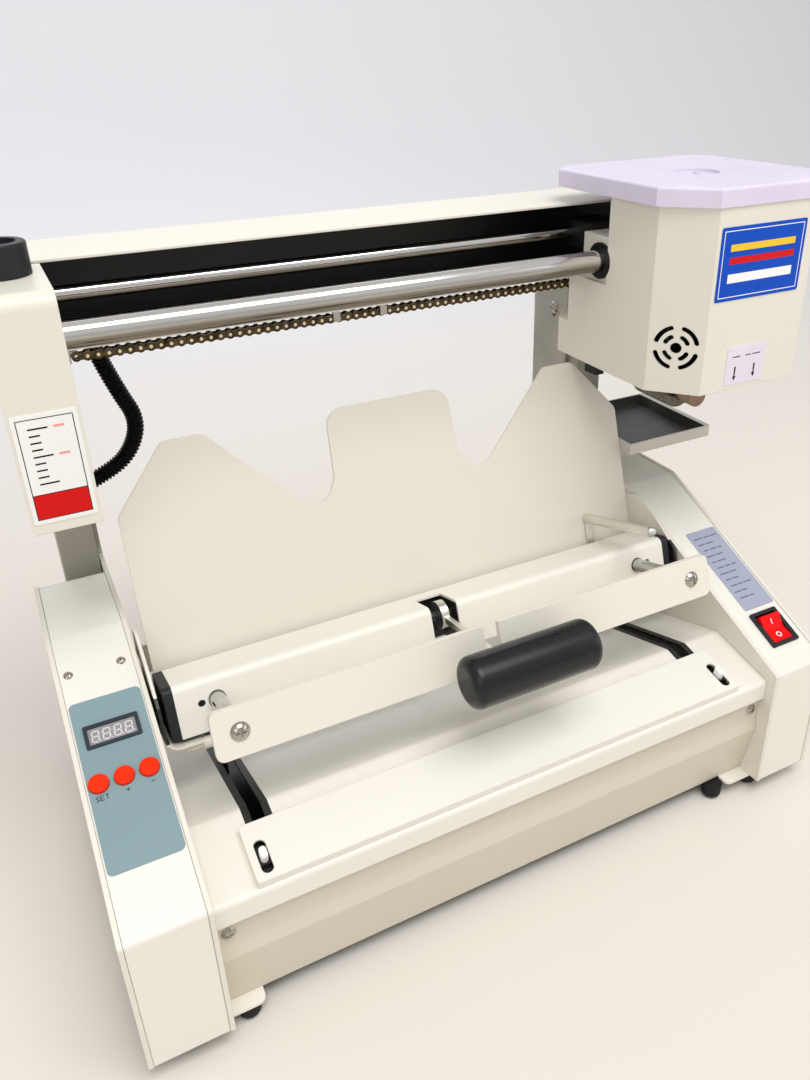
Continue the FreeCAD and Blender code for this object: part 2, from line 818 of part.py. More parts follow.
# ---- bridge --------------------------------------------------------------------------------------
def beam():
    corner = beam_corner
    profile = [(beam_front, beam_top), (beam_rear, beam_top, corner), (beam_rear, beam_bottom, corner),
               (beam_front, beam_bottom)]
    return flat_x(folded(profile, beam_wall), -beam_half_length, beam_half_length)


def leg():
    x0 = leg_inner_x
    x1 = x0 + leg_width
    low = block(x0, x1, leg_front, leg_rear, leg_foot, beam_bottom)
    high = block(x0, x1, beam_rear, leg_rear, beam_bottom - 1, leg_head)
    solid = low.fuse(high)
    hollow = block(x0 + leg_wall, x1 - leg_wall, beam_rear + leg_wall, leg_rear - leg_wall, leg_foot - 1,
                   leg_head - leg_wall)
    throat = block(x0 + leg_wall, x1 - leg_wall, leg_front + leg_wall, leg_rear - leg_wall, leg_foot - 1,
                   beam_bottom - leg_wall)
    hole = cylinder(x0 - 1, lock_screw_y, lock_screw_z, lock_screw_radius + press, leg_wall + 2, AXIS_X)
    return solid.cut(hollow.fuse(throat)).cut(hole)


def lock_screw():
    """Clamps a leg to its upright through the slot; the head bears on the inner plate."""
    shank = leg_inner_x + leg_wall - half_span
    screw = pan_screw(lock_screw_head, 2.6, lock_screw_radius, shank + 0.2)
    return facing(screw, V(-1, 0, 0), V(half_span - 0.2, lock_screw_y, lock_screw_z))


def rods():
    start = -rod_half_length
    front = cylinder(start, front_rod_y, front_rod_z, front_rod_radius, 2 * rod_half_length, AXIS_X)
    rear = cylinder(start, rear_rod_y, rear_rod_z, rear_rod_radius, 2 * rod_half_length, AXIS_X)
    return front, rear


def rod_block():
    x0 = rod_block_x
    x1 = x0 + rod_block_width
    body = block(x0, x1, rod_block_front, rear_rod_y + 10, rod_block_bottom, rod_block_top)
    low = beam_bottom + beam_wall
    high = beam_top - beam_wall
    web = beam_rear - beam_wall
    foot = block(x0 + 3, x1 - 3, beam_front + 0.5, web - 1.2, low, high)
    foot = foot.fuse(block(x0 + 3, x1 - 3, web - 2, web, low + 1.2, high - 1.2))
    holes = [cylinder(x0 - 1, front_rod_y, front_rod_z, front_rod_radius + press, rod_block_width + 2,
                      AXIS_X),
             cylinder(x0 - 1, rear_rod_y, rear_rod_z, rear_rod_radius + press, rod_block_width + 2, AXIS_X)]
    return body.fuse(foot).cut(holes[0]).cut(holes[1])


def head_cover():
    radius = head_corner
    profile = [(head_front, head_bottom), (head_front, head_top, radius), (head_rear, head_top),
               (head_rear, head_bottom)]
    shell = flat_x(profile, head_left, head_right)
    wall = head_wall
    inner = [(head_front + wall, head_bottom - 1), (head_front + wall, head_top - wall, radius - wall),
             (head_rear + 1, head_top - wall), (head_rear + 1, head_bottom - 1)]
    shell = shell.cut(flat_x(inner, head_left + wall, head_right - wall))
    shell = shell.cut(cylinder(head_right - 10, front_rod_y, front_rod_z, front_rod_radius + 0.6, 20,
                               AXIS_X))
    return shell.cut(cylinder(knob_x, knob_y, head_top - 10, screw_radius + fit, 20, AXIS_Z))


def head_plate():
    x0 = head_left + head_plate_inset[0]
    z0 = head_bottom + head_plate_inset[1]
    wide, high = head_plate_size
    corners = [(x0, z0, 1.5), (x0 + wide, z0, 1.5), (x0 + wide, z0 + high, 1.5), (x0, z0 + high, 1.5)]
    return flat_y(corners, head_front - label_thickness, head_front)


def chain_pin_x(index):
    return sprocket_x + pitch * (index - (link_count - 2))


def link_plate_at(x, inside, thickness):
    """Pair of link plates, one on each side of the chain's middle plane."""
    plates = []
    for y in (chain_y + inside, chain_y - inside - thickness):
        waist = block(x, x + pitch, y, y + thickness, chain_z - link_waist / 2, chain_z + link_waist / 2)
        ends = [cylinder(x + step, y, chain_z, link_end_radius, thickness, AXIS_Y) for step in (0, pitch)]
        plates.append(waist.fuse(ends))
    return plates[0].fuse(plates[1])


def chain_link(index):
    x = chain_pin_x(index)
    is_inner = index % 2 == 0
    if is_inner:
        link = link_plate_at(x, inner_gap, link_plate)
        reach = inner_gap + 0.1
        barrel = roller_radius
    else:
        link = link_plate_at(x, inner_gap + link_plate + link_play, link_plate)
        reach = pin_half_length
        barrel = pin_radius
    for step in (0, pitch):
        link = link.fuse(cylinder(x + step, chain_y - reach, chain_z, barrel, 2 * reach, AXIS_Y))
    if is_inner:
        for step in (0, pitch):
            link = link.cut(cylinder(x + step, chain_y - 4, chain_z, pin_radius + fit, 8, AXIS_Y))
    return link


def chain_mounts():
    """End anchors that hold the chain under the lower flange, and two saddles along it."""
    anchors = []
    for x, side in ((chain_pin_x(0), -1), (chain_pin_x(link_count), 1)):
        near = x + side * (link_end_radius + 0.3)
        far = near + side * 8
        body = block(min(near, far), max(near, far), chain_y - 3.2, chain_y + 3.2, chain_z - 3.5,
                     beam_bottom)
        tongue = block(min(x - side, near), max(x - side, near), chain_y - 1.2, chain_y + 1.2,
                       chain_z + 1.9, chain_z + 3.4)
        anchors.append(body.fuse(tongue))
    for x in (-34.5, 0.5):
        saddle = block(x, x + 5, chain_y - 4.4, chain_y + 4.6, beam_bottom - 1.2, beam_bottom)
        anchors.append(saddle.fuse(block(x, x + 5, chain_y - 4.4, chain_y - 3.9, chain_z - 2, beam_bottom)))
    return anchors


def route_wire(points):
    """Straight runs joined by arcs, each as large as 0.45 of its shorter run allows."""
    edges = []
    start = points[0]
    for i in range(1, len(points) - 1):
        back = points[i - 1] - points[i]
        ahead = points[i + 1] - points[i]
        turn = math.pi - back.getAngle(ahead)
        radius = 0.45 * min(back.Length, ahead.Length) / math.tan(turn / 2)
        begin, middle, end = bent_corner(points[i - 1], points[i], points[i + 1], radius)
        edges.append(Part.LineSegment(start, begin).toShape())
        edges.append(Part.Arc(begin, middle, end).toShape())
        start = end
    edges.append(Part.LineSegment(start, points[-1]).toShape())
    return Part.Wire(edges)


def conduit():
    points = [V(x, conduit_y, z) for x, z in conduit_route]
    path = route_wire(points)
    first = points[1] - points[0]
    ring = Part.Wire(Part.Circle(points[0], first, conduit_radius).toShape())
    return path.makePipeShell([ring], True, False)


def conduit_gland():
    """Junction box behind the web with the collar that grips the conduit."""
    x, z = conduit_route[0]
    housing = block(x - 13, x + 13, beam_rear, conduit_y + 11, z + 4, leg_head)
    collar = cylinder(x, conduit_y, z - 6, conduit_radius + 3, 11, AXIS_Z)
    below = V(conduit_route[1][0] - x, 0, conduit_route[1][1] - z)
    bore = Part.makeCylinder(conduit_radius + press, 30, V(x, conduit_y, z), below)
    return housing.fuse(collar).cut(bore)


def knob():
    z0 = head_top + knob_gap
    body = cylinder(knob_x, knob_y, z0, knob_radius, knob_height, AXIS_Z)
    rims = [edge for edge in body.Edges if edge.Closed and len(edge.Vertexes) == 1]
    body = body.makeFillet(1.6, [rim for rim in rims if rim.BoundBox.ZMin > z0 + 1])
    body = body.cut(cylinder(knob_x, knob_y, z0 + knob_height - 3, knob_radius - 5, 5, AXIS_Z))
    return body.cut(cylinder(knob_x, knob_y, z0 - 1, screw_radius + press, knob_height - 5, AXIS_Z))


def lead_screw():
    top = head_top + knob_gap + knob_height - 6.2
    return cylinder(knob_x, knob_y, screw_foot, screw_radius, top - screw_foot, AXIS_Z)


# ---- glue carriage -------------------------------------------------------------------------------
def eight_sided(x0, x1, y0, y1, cut_x, cut_y, z0, z1):
    points = [(x0, y0 + cut_y), (x0 + cut_x, y0), (x1 - cut_x, y0), (x1, y0 + cut_y),
              (x1, y1 - cut_y / 2), (x1 - cut_x / 2, y1), (x0 + cut_x / 2, y1), (x0, y1 - cut_y / 2)]
    return flat_z(points, z0, z1)


def stepped(inset, low, high):
    """Side outline of the glue box, lower behind the rods and lower again behind the chain."""
    points = [(glue_front - 5, low), (glue_front - 5, high), (rod_notch_y - inset, high),
              (rod_notch_y - inset, rod_notch_z - inset), (chain_notch_y - inset, rod_notch_z - inset),
              (chain_notch_y - inset, chain_notch_z - inset), (glue_rear + 5, chain_notch_z - inset),
              (glue_rear + 5, low)]
    return flat_x(points, glue_left - 5, glue_right + 5)


def chamfer_frame():
    """Middle of the front-left chamfer and its outward direction."""
    middle = V(glue_left + glue_chamfer_x / 2, glue_front + glue_chamfer_y / 2, vent_z)
    outward = V(-glue_chamfer_y, -glue_chamfer_x, 0).normalize()
    return middle, outward


def on_circle(radius, angle):
    return V(radius * math.cos(math.radians(angle)), radius * math.sin(math.radians(angle)), -6)


def curved_slit(radius, width, half_angle, middle):
    """Round-ended slit along an arc, as a tool along +Z."""
    a0 = middle - half_angle
    a1 = middle + half_angle
    cap = math.degrees(width / 2 / radius)
    far = radius + width / 2
    near = radius - width / 2
    arcs = [Part.Arc(on_circle(far, a0), on_circle(far, middle), on_circle(far, a1)),
            Part.Arc(on_circle(far, a1), on_circle(radius, a1 + cap), on_circle(near, a1)),
            Part.Arc(on_circle(near, a1), on_circle(near, middle), on_circle(near, a0)),
            Part.Arc(on_circle(near, a0), on_circle(radius, a0 - cap), on_circle(far, a0))]
    return Part.Face(Part.Wire([arc.toShape() for arc in arcs])).extrude(V(0, 0, 12))


def box_shell():
    outer = eight_sided(glue_left, glue_right, glue_front, glue_rear, glue_chamfer_x, glue_chamfer_y,
                        glue_bottom, glue_top)
    wall = glue_wall
    inner = eight_sided(glue_left + wall, glue_right - wall, glue_front + wall, glue_rear - wall,
                        glue_chamfer_x - wall * 0.6, glue_chamfer_y - wall * 0.7, glue_bottom - 1,
                        glue_top + 1)
    outer = outer.common(stepped(0, glue_bottom - 2, glue_top + 2))
    inner = inner.common(stepped(wall, glue_bottom - 2, glue_top + 2))
    shell = outer.cut(inner)
    middle, outward = chamfer_frame()
    shell = shell.cut(facing(cylinder(0, 0, -6, vent_hole_radius, 12, AXIS_Z), outward, middle))
    upright = math.degrees(math.atan2(outward.y, outward.x))
    for radius, width, half_angle in vent_slits:
        for quarter in (45, 135, 225, 315):
            slit = curved_slit(radius, width, half_angle, upright + quarter)
            shell = shell.cut(facing(slit, outward, middle))
    relief = cylinder(glue_left - 1, front_rod_y, front_rod_z, bush_flange_radius + 0.5, 5, AXIS_X)
    shaft_hole = cylinder(sprocket_x, chain_notch_y - 5, sprocket_z, sprocket_shaft_radius + fit, 8, AXIS_Y)
    return shell.cut(relief).cut(shaft_hole)


def box_floor():
    """Floor of the box with the drum opening, and the dark guide foot below it."""
    wall = glue_wall + 0.15
    floor = eight_sided(glue_left + wall, glue_right - wall, glue_front + wall, glue_rear - wall,
                        glue_chamfer_x - wall * 0.6, glue_chamfer_y - wall * 0.7, glue_bottom,
                        glue_bottom + floor_thickness)
    x0, x1, y0, y1 = tank_outline(press)
    floor = floor.cut(block(x0, x1, y0, y1, glue_bottom - 5, glue_bottom + 5))
    reach = drum_boss_radius + 0.3
    slot_front = y0 - front_boss_length - 0.3
    slot = block(drum_x - reach, drum_x + reach, slot_front, y1 + rear_boss_length + 0.3, 0, glue_top)
    foot_y0, foot_y1 = foot_guide_run
    foot_x = glue_left + glue_wall
    foot = block(foot_x, foot_x + foot_guide_width, foot_y0, foot_y1, glue_bottom - foot_guide_height,
                 glue_bottom)
    return floor.cut(slot).fuse(foot)


def bearing_block():
    x0 = glue_left + 2.3
    body = block(x0, x0 + bearing_length - 2, rod_notch_y, bearing_rear, rod_notch_z, bearing_top)
    bore = cylinder(x0 - 1, front_rod_y, front_rod_z, bush_body_radius + press, bearing_length + 2, AXIS_X)
    return body.cut(bore)


def rod_bush():
    x0 = glue_left + 0.3
    bush = cylinder(x0, front_rod_y, front_rod_z, bush_flange_radius, 2, AXIS_X)
    bush = bush.fuse(cylinder(x0 + 2, front_rod_y, front_rod_z, bush_body_radius, bearing_length - 2,
                              AXIS_X))
    return bush.cut(cylinder(x0 - 1, front_rod_y, front_rod_z, front_rod_radius + fit,
                             bearing_length + 3, AXIS_X))


def rear_guide():
    x0 = glue_left + 9
    half = guide_height / 2
    y1 = rear_rod_y + guide_behind_rod
    body = block(x0, x0 + guide_width, bearing_rear, y1, rear_rod_z - half, rear_rod_z + half)
    return body.cut(cylinder(x0 - 1, rear_rod_y, rear_rod_z, rear_rod_radius + fit, guide_width + 2,
                             AXIS_X))


def tank_outline(grow):
    reach = drum_radius + tank_gap + tank_wall + grow
    y0 = drum_front - drum_end_gap - tank_wall - grow
    y1 = drum_front + drum_length + drum_end_gap + tank_wall + grow
    return drum_x - reach, drum_x + reach, y0, y1


def glue_tank():
    """Open hopper over the drum, with its two shaft bosses; the flange rests on the floor of the box."""
    x0, x1, y0, y1 = tank_outline(0)
    hx0, hx1, hy0, hy1 = tank_outline(-tank_wall)
    floor_top = glue_bottom + floor_thickness
    tank = block(x0, x1, y0, y1, glue_bottom, tank_top)
    tank = tank.fuse(block(x0 + 6, x1 + 5, y0 + 6, y1 + 5, floor_top, floor_top + 2))
    front = y0 - front_boss_length
    tank = tank.fuse(cylinder(drum_x, front, drum_z, drum_boss_radius, front_boss_length, AXIS_Y))
    tank = tank.fuse(cylinder(drum_x, y1, drum_z, drum_boss_radius, rear_boss_length, AXIS_Y))
    tank = tank.cut(block(hx0, hx1, hy0, hy1, glue_bottom - 1, tank_top + 1))
    bore_length = y1 + rear_boss_length + 1 - front - boss_end
    return tank.cut(cylinder(drum_x, front + boss_end, drum_z, drum_shaft_radius + fit, bore_length,
                             AXIS_Y))


def glue_drum():
    x0, x1, y0, y1 = tank_outline(0)
    start = y0 - front_boss_length + boss_end + drum_end_gap
    drum = cylinder(drum_x, drum_front, drum_z, drum_radius, drum_length, AXIS_Y)
    return drum.fuse(cylinder(drum_x, start, drum_z, drum_shaft_radius, y1 + rear_boss_length - start,
                              AXIS_Y))


def box_labels():
    labels = []
    for bounds, radius in ((front_plate_box, 1.5), (glue_label_box, 0.8)):
        x0, x1 = [glue_left + across for across in bounds[:2]]
        z0, z1 = [glue_bottom + height for height in bounds[2:]]
        corners = [(x0, z0, radius), (x1, z0, radius), (x1, z1, radius), (x0, z1, radius)]
        labels.append(flat_y(corners, glue_front - label_thickness, glue_front))
    return labels


def box_lid():
    top = glue_top + lid_thickness
    cut_x = glue_chamfer_x + 3
    lid = eight_sided(lid_left, lid_right, lid_front, lid_rear, cut_x, glue_chamfer_y - 0.5, glue_top, top)
    upper = [edge for edge in lid.Edges if edge.BoundBox.ZMin > top - 0.01]
    lid = lid.makeFillet(lid_rounding, upper)
    wall = glue_wall + lid_play
    lip = eight_sided(glue_left + wall, glue_right - wall, glue_front + wall, rod_notch_y - wall + 20,
                      glue_chamfer_x - wall * 0.6, glue_chamfer_y - wall * 0.7, glue_top - lid_lip,
                      glue_top + 1)
    lip = lip.common(block(glue_left, glue_right, glue_front, rod_notch_y - wall, glue_top - 9,
                           glue_top + 1))
    x = glue_left + lid_recess[0]
    y = glue_front + lid_recess[1]
    lid = lid.fuse(lip).cut(cylinder(x, y, top - lid_recess_depth, lid_recess_radius, 5, AXIS_Z))
    lid = lid.fuse(cylinder(x, y, top - lid_recess_depth - 0.5, lid_dot_radius, lid_recess_depth, AXIS_Z))
    wide, long = lid_notch_size
    x = glue_left + lid_notch[0]
    y = glue_front + lid_notch[1]
    notch_tool = rounded_box(x - wide / 2, x + wide / 2, y - long / 2, y + long / 2, top - 1.5,
                             top + 1, long * 0.4)
    return lid.cut(notch_tool)


def sprocket():
    """Plate sprocket, hub, shaft and collar; a gap between two teeth points straight up."""
    root = sprocket_drop - roller_radius - 0.35
    tip = sprocket_drop + 1.4
    y0 = chain_y - sprocket_width / 2
    plate = cylinder(sprocket_x, y0, sprocket_z, root, sprocket_width, AXIS_Y)
    for index in range(sprocket_teeth):
        tooth = flat_y([(-1.25, root - 1.5), (1.25, root - 1.5), (0.5, tip), (-0.5, tip)], y0,
                       y0 + sprocket_width)
        tooth.rotate(V(0, 0, 0), AXIS_Y, (index + 0.5) * 360.0 / sprocket_teeth)
        tooth.translate(V(sprocket_x, 0, sprocket_z))
        plate = plate.fuse(tooth)
    wall = chain_notch_y
    hub = cylinder(sprocket_x, wall + 0.3, sprocket_z, 6, y0 - wall + 0.2, AXIS_Y)
    shaft = cylinder(sprocket_x, wall - 12, sprocket_z, sprocket_shaft_radius, y0 - wall + 15, AXIS_Y)
    collar = cylinder(sprocket_x, wall - glue_wall - 4.3, sprocket_z, 6, 4, AXIS_Y)
    return plate.fuse([hub, shaft, collar])


# ---- clamp ---------------------------------------------------------------------------------------
def w_plate():
    """Back plate with a raised middle and two side peaks; the valleys leave room for the fingers."""
    edge = jaw_rear_half - w_margin
    shoulder, corner = w_outline[0]
    half = [(edge, back_foot, w_corner), (edge, shoulder, corner)] + w_outline[1:]
    points = half + [(-x, u, radius) for x, u, radius in reversed(half)]
    sides = (-clamp_rod_x, clamp_rod_x)
    holes = [cylinder(x, -1, clamp_rod_u, clamp_rod_radius + 0.4, 4, AXIS_Y) for x in sides]
    plate = flat_y(points, 0, back_thickness)
    return on_clamp(plate.cut(holes[0]).cut(holes[1]))


def rear_jaw():
    """Jaw bar behind the back plate, with the two arms that reach down through the table welded on."""
    half = jaw_rear_half
    jaw = block(-half, half, back_thickness, back_thickness + jaw_rear_depth, back_foot, jaw_rear_top)
    for x in (-clamp_rod_x, clamp_rod_x):
        jaw = jaw.cut(cylinder(x, back_thickness - 1, clamp_rod_u, clamp_rod_radius + press, 10, AXIS_Y))
    return on_clamp(jaw.fuse(both(slot_arm())))


def swing_plate():
    """End plate that hangs the clamp on its pivot pin, bent inward below the jaw, with a stop roller."""
    x0 = jaw_rear_half
    x1 = x0 + swing_thickness
    low = housing_bottom - cradle_drop
    bend = low + cradle_bend
    foot_u = swing_foot[1]
    corners = swing_head + [swing_foot, (cradle_rear, foot_u), (cradle_rear, bend), (cradle_front, bend),
                            (cradle_front, swing_shoulder, 8)]
    plate = flat_x(corners, x0, x1)
    plate = plate.cut(cylinder(x0 - 1, pivot_n, pivot_u, pivot_radius + fit, swing_thickness + 2, AXIS_X))
    strip = [(x1, bend + 4), (x1, low, cradle_bend), (x0 - cradle_reach, low)]
    cradle = flat_y(folded(strip, swing_thickness), cradle_front, cradle_rear)
    n = cradle_front + stop_rod_setback
    u = low - stop_rod_radius + 0.4
    end = x0 - stop_rod_length
    rod = cylinder(end, n, u, stop_rod_radius, stop_rod_length - cradle_bend, AXIS_X)
    roller = cylinder(end - stop_roller_length + 1, n, u, stop_roller_radius, stop_roller_length, AXIS_X)
    return on_clamp(plate.fuse([cradle, rod, roller]))


def slot_arm():
    n0 = back_thickness
    profile = [(n0, back_foot), (n0 + jaw_rear_depth, back_foot)] + arm_bottom
    return flat_x(profile, arm_x - arm_thickness / 2, arm_x + arm_thickness / 2)


def clamp_rod():
    start = bar_front + bar_thickness
    length = back_thickness + 8 - start
    rod = cylinder(clamp_rod_x, start, clamp_rod_u, clamp_rod_radius, length, AXIS_Y)
    return on_clamp(rod.cut(cylinder(clamp_rod_x, start - 1, clamp_rod_u, 2.5 + press, 12, AXIS_Y)))


def front_bar():
    left, right = bar_slot
    floor = bar_top - bar_slot_depth
    half = bar_half_length
    points = [(-half, bar_bottom, bar_corner), (half, bar_bottom, bar_corner), (half, bar_top, bar_corner),
              (right, bar_top, 1.5), (right, floor, 1.5), (left, floor, 1.5), (left, bar_top, 1.5),
              (-half, bar_top, bar_corner)]
    bar = flat_y(points, bar_front, bar_front + bar_thickness)
    for x in (-clamp_rod_x, clamp_rod_x):
        bar = bar.cut(cylinder(x, bar_front - 1, clamp_rod_u, 2.7, bar_thickness + 2, AXIS_Y))
    return on_clamp(bar)


def bar_screw():
    screw = pan_screw(bar_screw_head, 3.4, 2.5, 11)
    return on_clamp(facing(screw, V(0, -1, 0), V(clamp_rod_x, bar_front, clamp_rod_u)))


def side_stop():
    """Round bar over the jaw with a domed end, on a leg that hangs in front of the back plate."""
    half, thickness = stop_leg
    leg_strip = block(stop_x - half, stop_x + half, -stop_gap - thickness, -stop_gap, stop_leg_foot, stop_u)
    bar = cylinder(stop_x, -stop_gap - stop_length, stop_u, stop_radius, stop_length, AXIS_Y)
    dome = Part.makeSphere(stop_radius, V(stop_x, -stop_gap - stop_length, stop_u))
    return on_clamp(bar.fuse([dome, leg_strip]))


# ---- moving jaw and its lever --------------------------------------------------------------------
def housing_profile(inset):
    low = housing_bottom - inset * 0.2
    high = housing_top - inset
    return [(housing_front + inset, low), (housing_front + inset, high, housing_corner - inset),
            (housing_rear - inset, high, 1), (housing_rear - inset, low)]


def jaw_housing():
    """Folded jaw with guide bosses, the lever notch between two cheeks and the cam pin across them."""
    wall = housing_wall
    shell = flat_x(housing_profile(0), -housing_half, housing_half)
    shell = shell.cut(flat_x(housing_profile(wall), -housing_half - 1, housing_half + 1))
    left, right = notch
    cheek_front = housing_front + wall - 0.5
    cheek_rear = housing_front + notch_depth + wall
    for x0 in (left - wall, right):
        shell = shell.fuse(block(x0, x0 + wall, cheek_front, cheek_rear, housing_bottom,
                                 housing_top - wall + 0.5))
    for x in (-clamp_rod_x, clamp_rod_x):
        length = housing_rear - housing_front - 1
        shell = shell.fuse(cylinder(x, housing_front + 0.5, clamp_rod_u, clamp_rod_radius + 4, length,
                                    AXIS_Y))
        shell = shell.cut(cylinder(x, housing_front - 1, clamp_rod_u, clamp_rod_radius + fit, 60, AXIS_Y))
        ring = clamp_rod_radius + rod_ring
        shell = shell.cut(cylinder(x, housing_front - 1, clamp_rod_u, ring, rod_ring_depth + 1, AXIS_Y))
        step, drop = side_hole
        side = x + math.copysign(step, x)
        shell = shell.cut(cylinder(side, housing_front - 1, clamp_rod_u - drop, side_hole_radius, 4,
                                   AXIS_Y))
    shell = shell.cut(block(left, right, housing_front - 1, housing_front + notch_depth, housing_bottom - 1,
                            housing_top + 1))
    pin = cylinder(left - wall, cam_n, cam_u, cam_pin_radius, right - left + 2 * wall, AXIS_X)
    return on_clamp(shell.fuse(pin))


def jaw_end_cap():
    corners = [(housing_front, housing_bottom, 3), (housing_front, housing_top, housing_corner),
               (housing_rear, housing_top, 1.5), (housing_rear, housing_bottom, 3)]
    cap = flat_x(corners, housing_half, housing_half + cap_thickness)
    face = [edge for edge in cap.Edges if edge.BoundBox.XMin > housing_half + cap_thickness - 0.01]
    return on_clamp(cap.makeFillet(cap_rounding, face))


def clamp_lever():
    """Cam disc, flat arm and the core rod of the grip, welded together."""
    half = cam_thickness / 2
    cam = cylinder(-half, cam_n, cam_u, cam_radius, cam_thickness, AXIS_X)
    along = V(0, grip_n - cam_n, grip_u - cam_u)
    across = V(0, -along.z, along.y).normalize() * (lever_thickness / 2)
    foot = V(0, cam_n, cam_u)
    tip = V(0, grip_n, grip_u)
    corners = [foot + across, tip + across, tip - across, foot - across]
    arm = flat_x([(corner.y, corner.z) for corner in corners], -half + 1, half - 1)
    core = grip_core(grip_core_radius)
    lever = cam.fuse([arm, core])
    return on_clamp(lever.cut(cylinder(-half - 1, cam_n, cam_u, cam_pin_radius + fit,
                                       cam_thickness + 2, AXIS_X)))


def grip_core(radius):
    margin = grip_core_margin
    return cylinder(grip_left + margin, grip_n, grip_u, radius, grip_right - grip_left - 2 * margin, AXIS_X)


def grip():
    body = cylinder(grip_left, grip_n, grip_u, grip_radius, grip_right - grip_left, AXIS_X)
    rims = [edge for edge in body.Edges if edge.Closed and edge.BoundBox.XLength < 0.1]
    body = body.makeFillet(grip_rounding, rims)
    body = body.cut(grip_core(grip_core_radius + press))
    reach = lever_thickness / 2 + 0.6
    half = cam_thickness / 2 - 1 + 0.2
    rise = grip_radius * (cam_u - grip_u) / (cam_n - grip_n)
    slot = block(-half, half, grip_n, grip_n + grip_radius + 2, grip_u - reach, grip_u + reach + rise)
    return on_clamp(body.cut(slot))


# ---- drip tray -----------------------------------------------------------------------------------
def drip_tray():
    wall = tray_wall
    tray = rounded_box(tray_left, tray_right, tray_front, tray_rear, tray_bottom, tray_top, 1)
    return tray.cut(rounded_box(tray_left + wall, tray_right - tray_lip, tray_front + wall, tray_rear - wall,
                                tray_bottom + wall, tray_top + 1, 0.8))


def main():
    os.makedirs("parts", exist_ok=True)
    save("base_pan", base_pan())
    save("rubber_feet", *[rubber_foot(x, y) for x, y in foot_places])
    plate = inner_plate()
    save("inner_plate_left", mirrored(plate).cut(conduit_opening()).fuse(mirrored(pivot_pin())))
    save("inner_plate_right", plate.fuse(pivot_pin()))
    save("outer_plates", *both(outer_plate()))
    save("cover_left", cover_left())
    save("cover_right", cover_right())
    save("posts", post(True), post(False))
    save("table", table())
    save("apron", apron())
    save("rear_tie", rear_tie())
    save("register_plate", register_plate())
    save("base_screws", *base_screws())
    save("control_overlay", control_overlay())
    save("display", display())
    save("instruction_plate", overlay(instruction_box, label_thickness, 1.5))
    save("rocker_bezel", rocker_bezel())
    save("power_inlet", power_inlet())

    save("beam", beam())
    save("legs", *both(leg()))
    save("lock_screws", *both(lock_screw()))
    front_rod, rear_rod = rods()
    save("front_rod", front_rod)
    save("rear_rod", rear_rod)
    save("rod_blocks", *both(rod_block()))
    save("head_cover", head_cover())
    save("head_plate", head_plate())
    save("chain", *[chain_link(index) for index in range(link_count)])
    save("chain_mounts", *chain_mounts())
    save("conduit", conduit())
    save("conduit_gland", conduit_gland())
    save("knob", knob())
    save("lead_screw", lead_screw())

    save("box_shell", box_shell())
    save("box_floor", box_floor())
    save("bearing_block", bearing_block())
    save("rod_bush", rod_bush())
    save("rear_guide", rear_guide())
    save("glue_tank", glue_tank())
    save("box_labels", *box_labels())
    save("box_lid", box_lid())
    save("glue_drum", glue_drum())
    save("sprocket", sprocket())

    save("w_plate", w_plate())
    save("rear_jaw", rear_jaw())
    save("swing_plates", *both(swing_plate()))
    save("clamp_rods", *both(clamp_rod()))
    save("front_bar", front_bar())
    save("bar_screws", *both(bar_screw()))
    save("side_stop", side_stop())
    save("jaw_housing", jaw_housing())
    save("jaw_end_caps", *both(jaw_end_cap()))
    save("clamp_lever", clamp_lever())
    save("grip", grip())

    tab = register_tab()
    save("register_tab_right", tab)
    save("register_tab_left", mirrored(tab))
    save("drip_tray", drip_tray())
    save("rocker", rocker())
    for name, x in button_places.items():
        save(name, push_button(x))


main()
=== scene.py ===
import bpy
import bmesh
import math
from mathutils import Matrix, Vector


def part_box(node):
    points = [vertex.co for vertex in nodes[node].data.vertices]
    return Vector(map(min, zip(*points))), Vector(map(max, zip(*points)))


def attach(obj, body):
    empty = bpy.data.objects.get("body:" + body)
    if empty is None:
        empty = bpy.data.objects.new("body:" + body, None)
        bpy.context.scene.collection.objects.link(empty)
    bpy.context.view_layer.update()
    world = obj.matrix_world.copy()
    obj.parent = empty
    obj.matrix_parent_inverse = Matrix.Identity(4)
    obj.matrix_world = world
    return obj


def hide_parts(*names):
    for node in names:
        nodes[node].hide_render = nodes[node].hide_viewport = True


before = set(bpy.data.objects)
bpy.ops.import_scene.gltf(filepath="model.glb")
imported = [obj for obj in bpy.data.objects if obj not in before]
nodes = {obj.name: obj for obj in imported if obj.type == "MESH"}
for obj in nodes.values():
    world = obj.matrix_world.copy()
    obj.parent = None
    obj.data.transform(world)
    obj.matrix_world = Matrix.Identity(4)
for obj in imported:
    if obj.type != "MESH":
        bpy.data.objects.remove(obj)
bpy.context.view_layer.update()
print("frame loaded,", len(nodes), "nodes")

millimetre = 0.001
plateLow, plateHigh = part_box("outer_plates")
# between the side boxes, at their front, at the bottom edge of the plates
middle = Vector(((plateLow.x + plateHigh.x) / 2, plateLow.y, plateLow.z))


def place(x, y, z):
    return middle + Vector((x, y, z)) * millimetre  # machine millimetres to metres in the frame


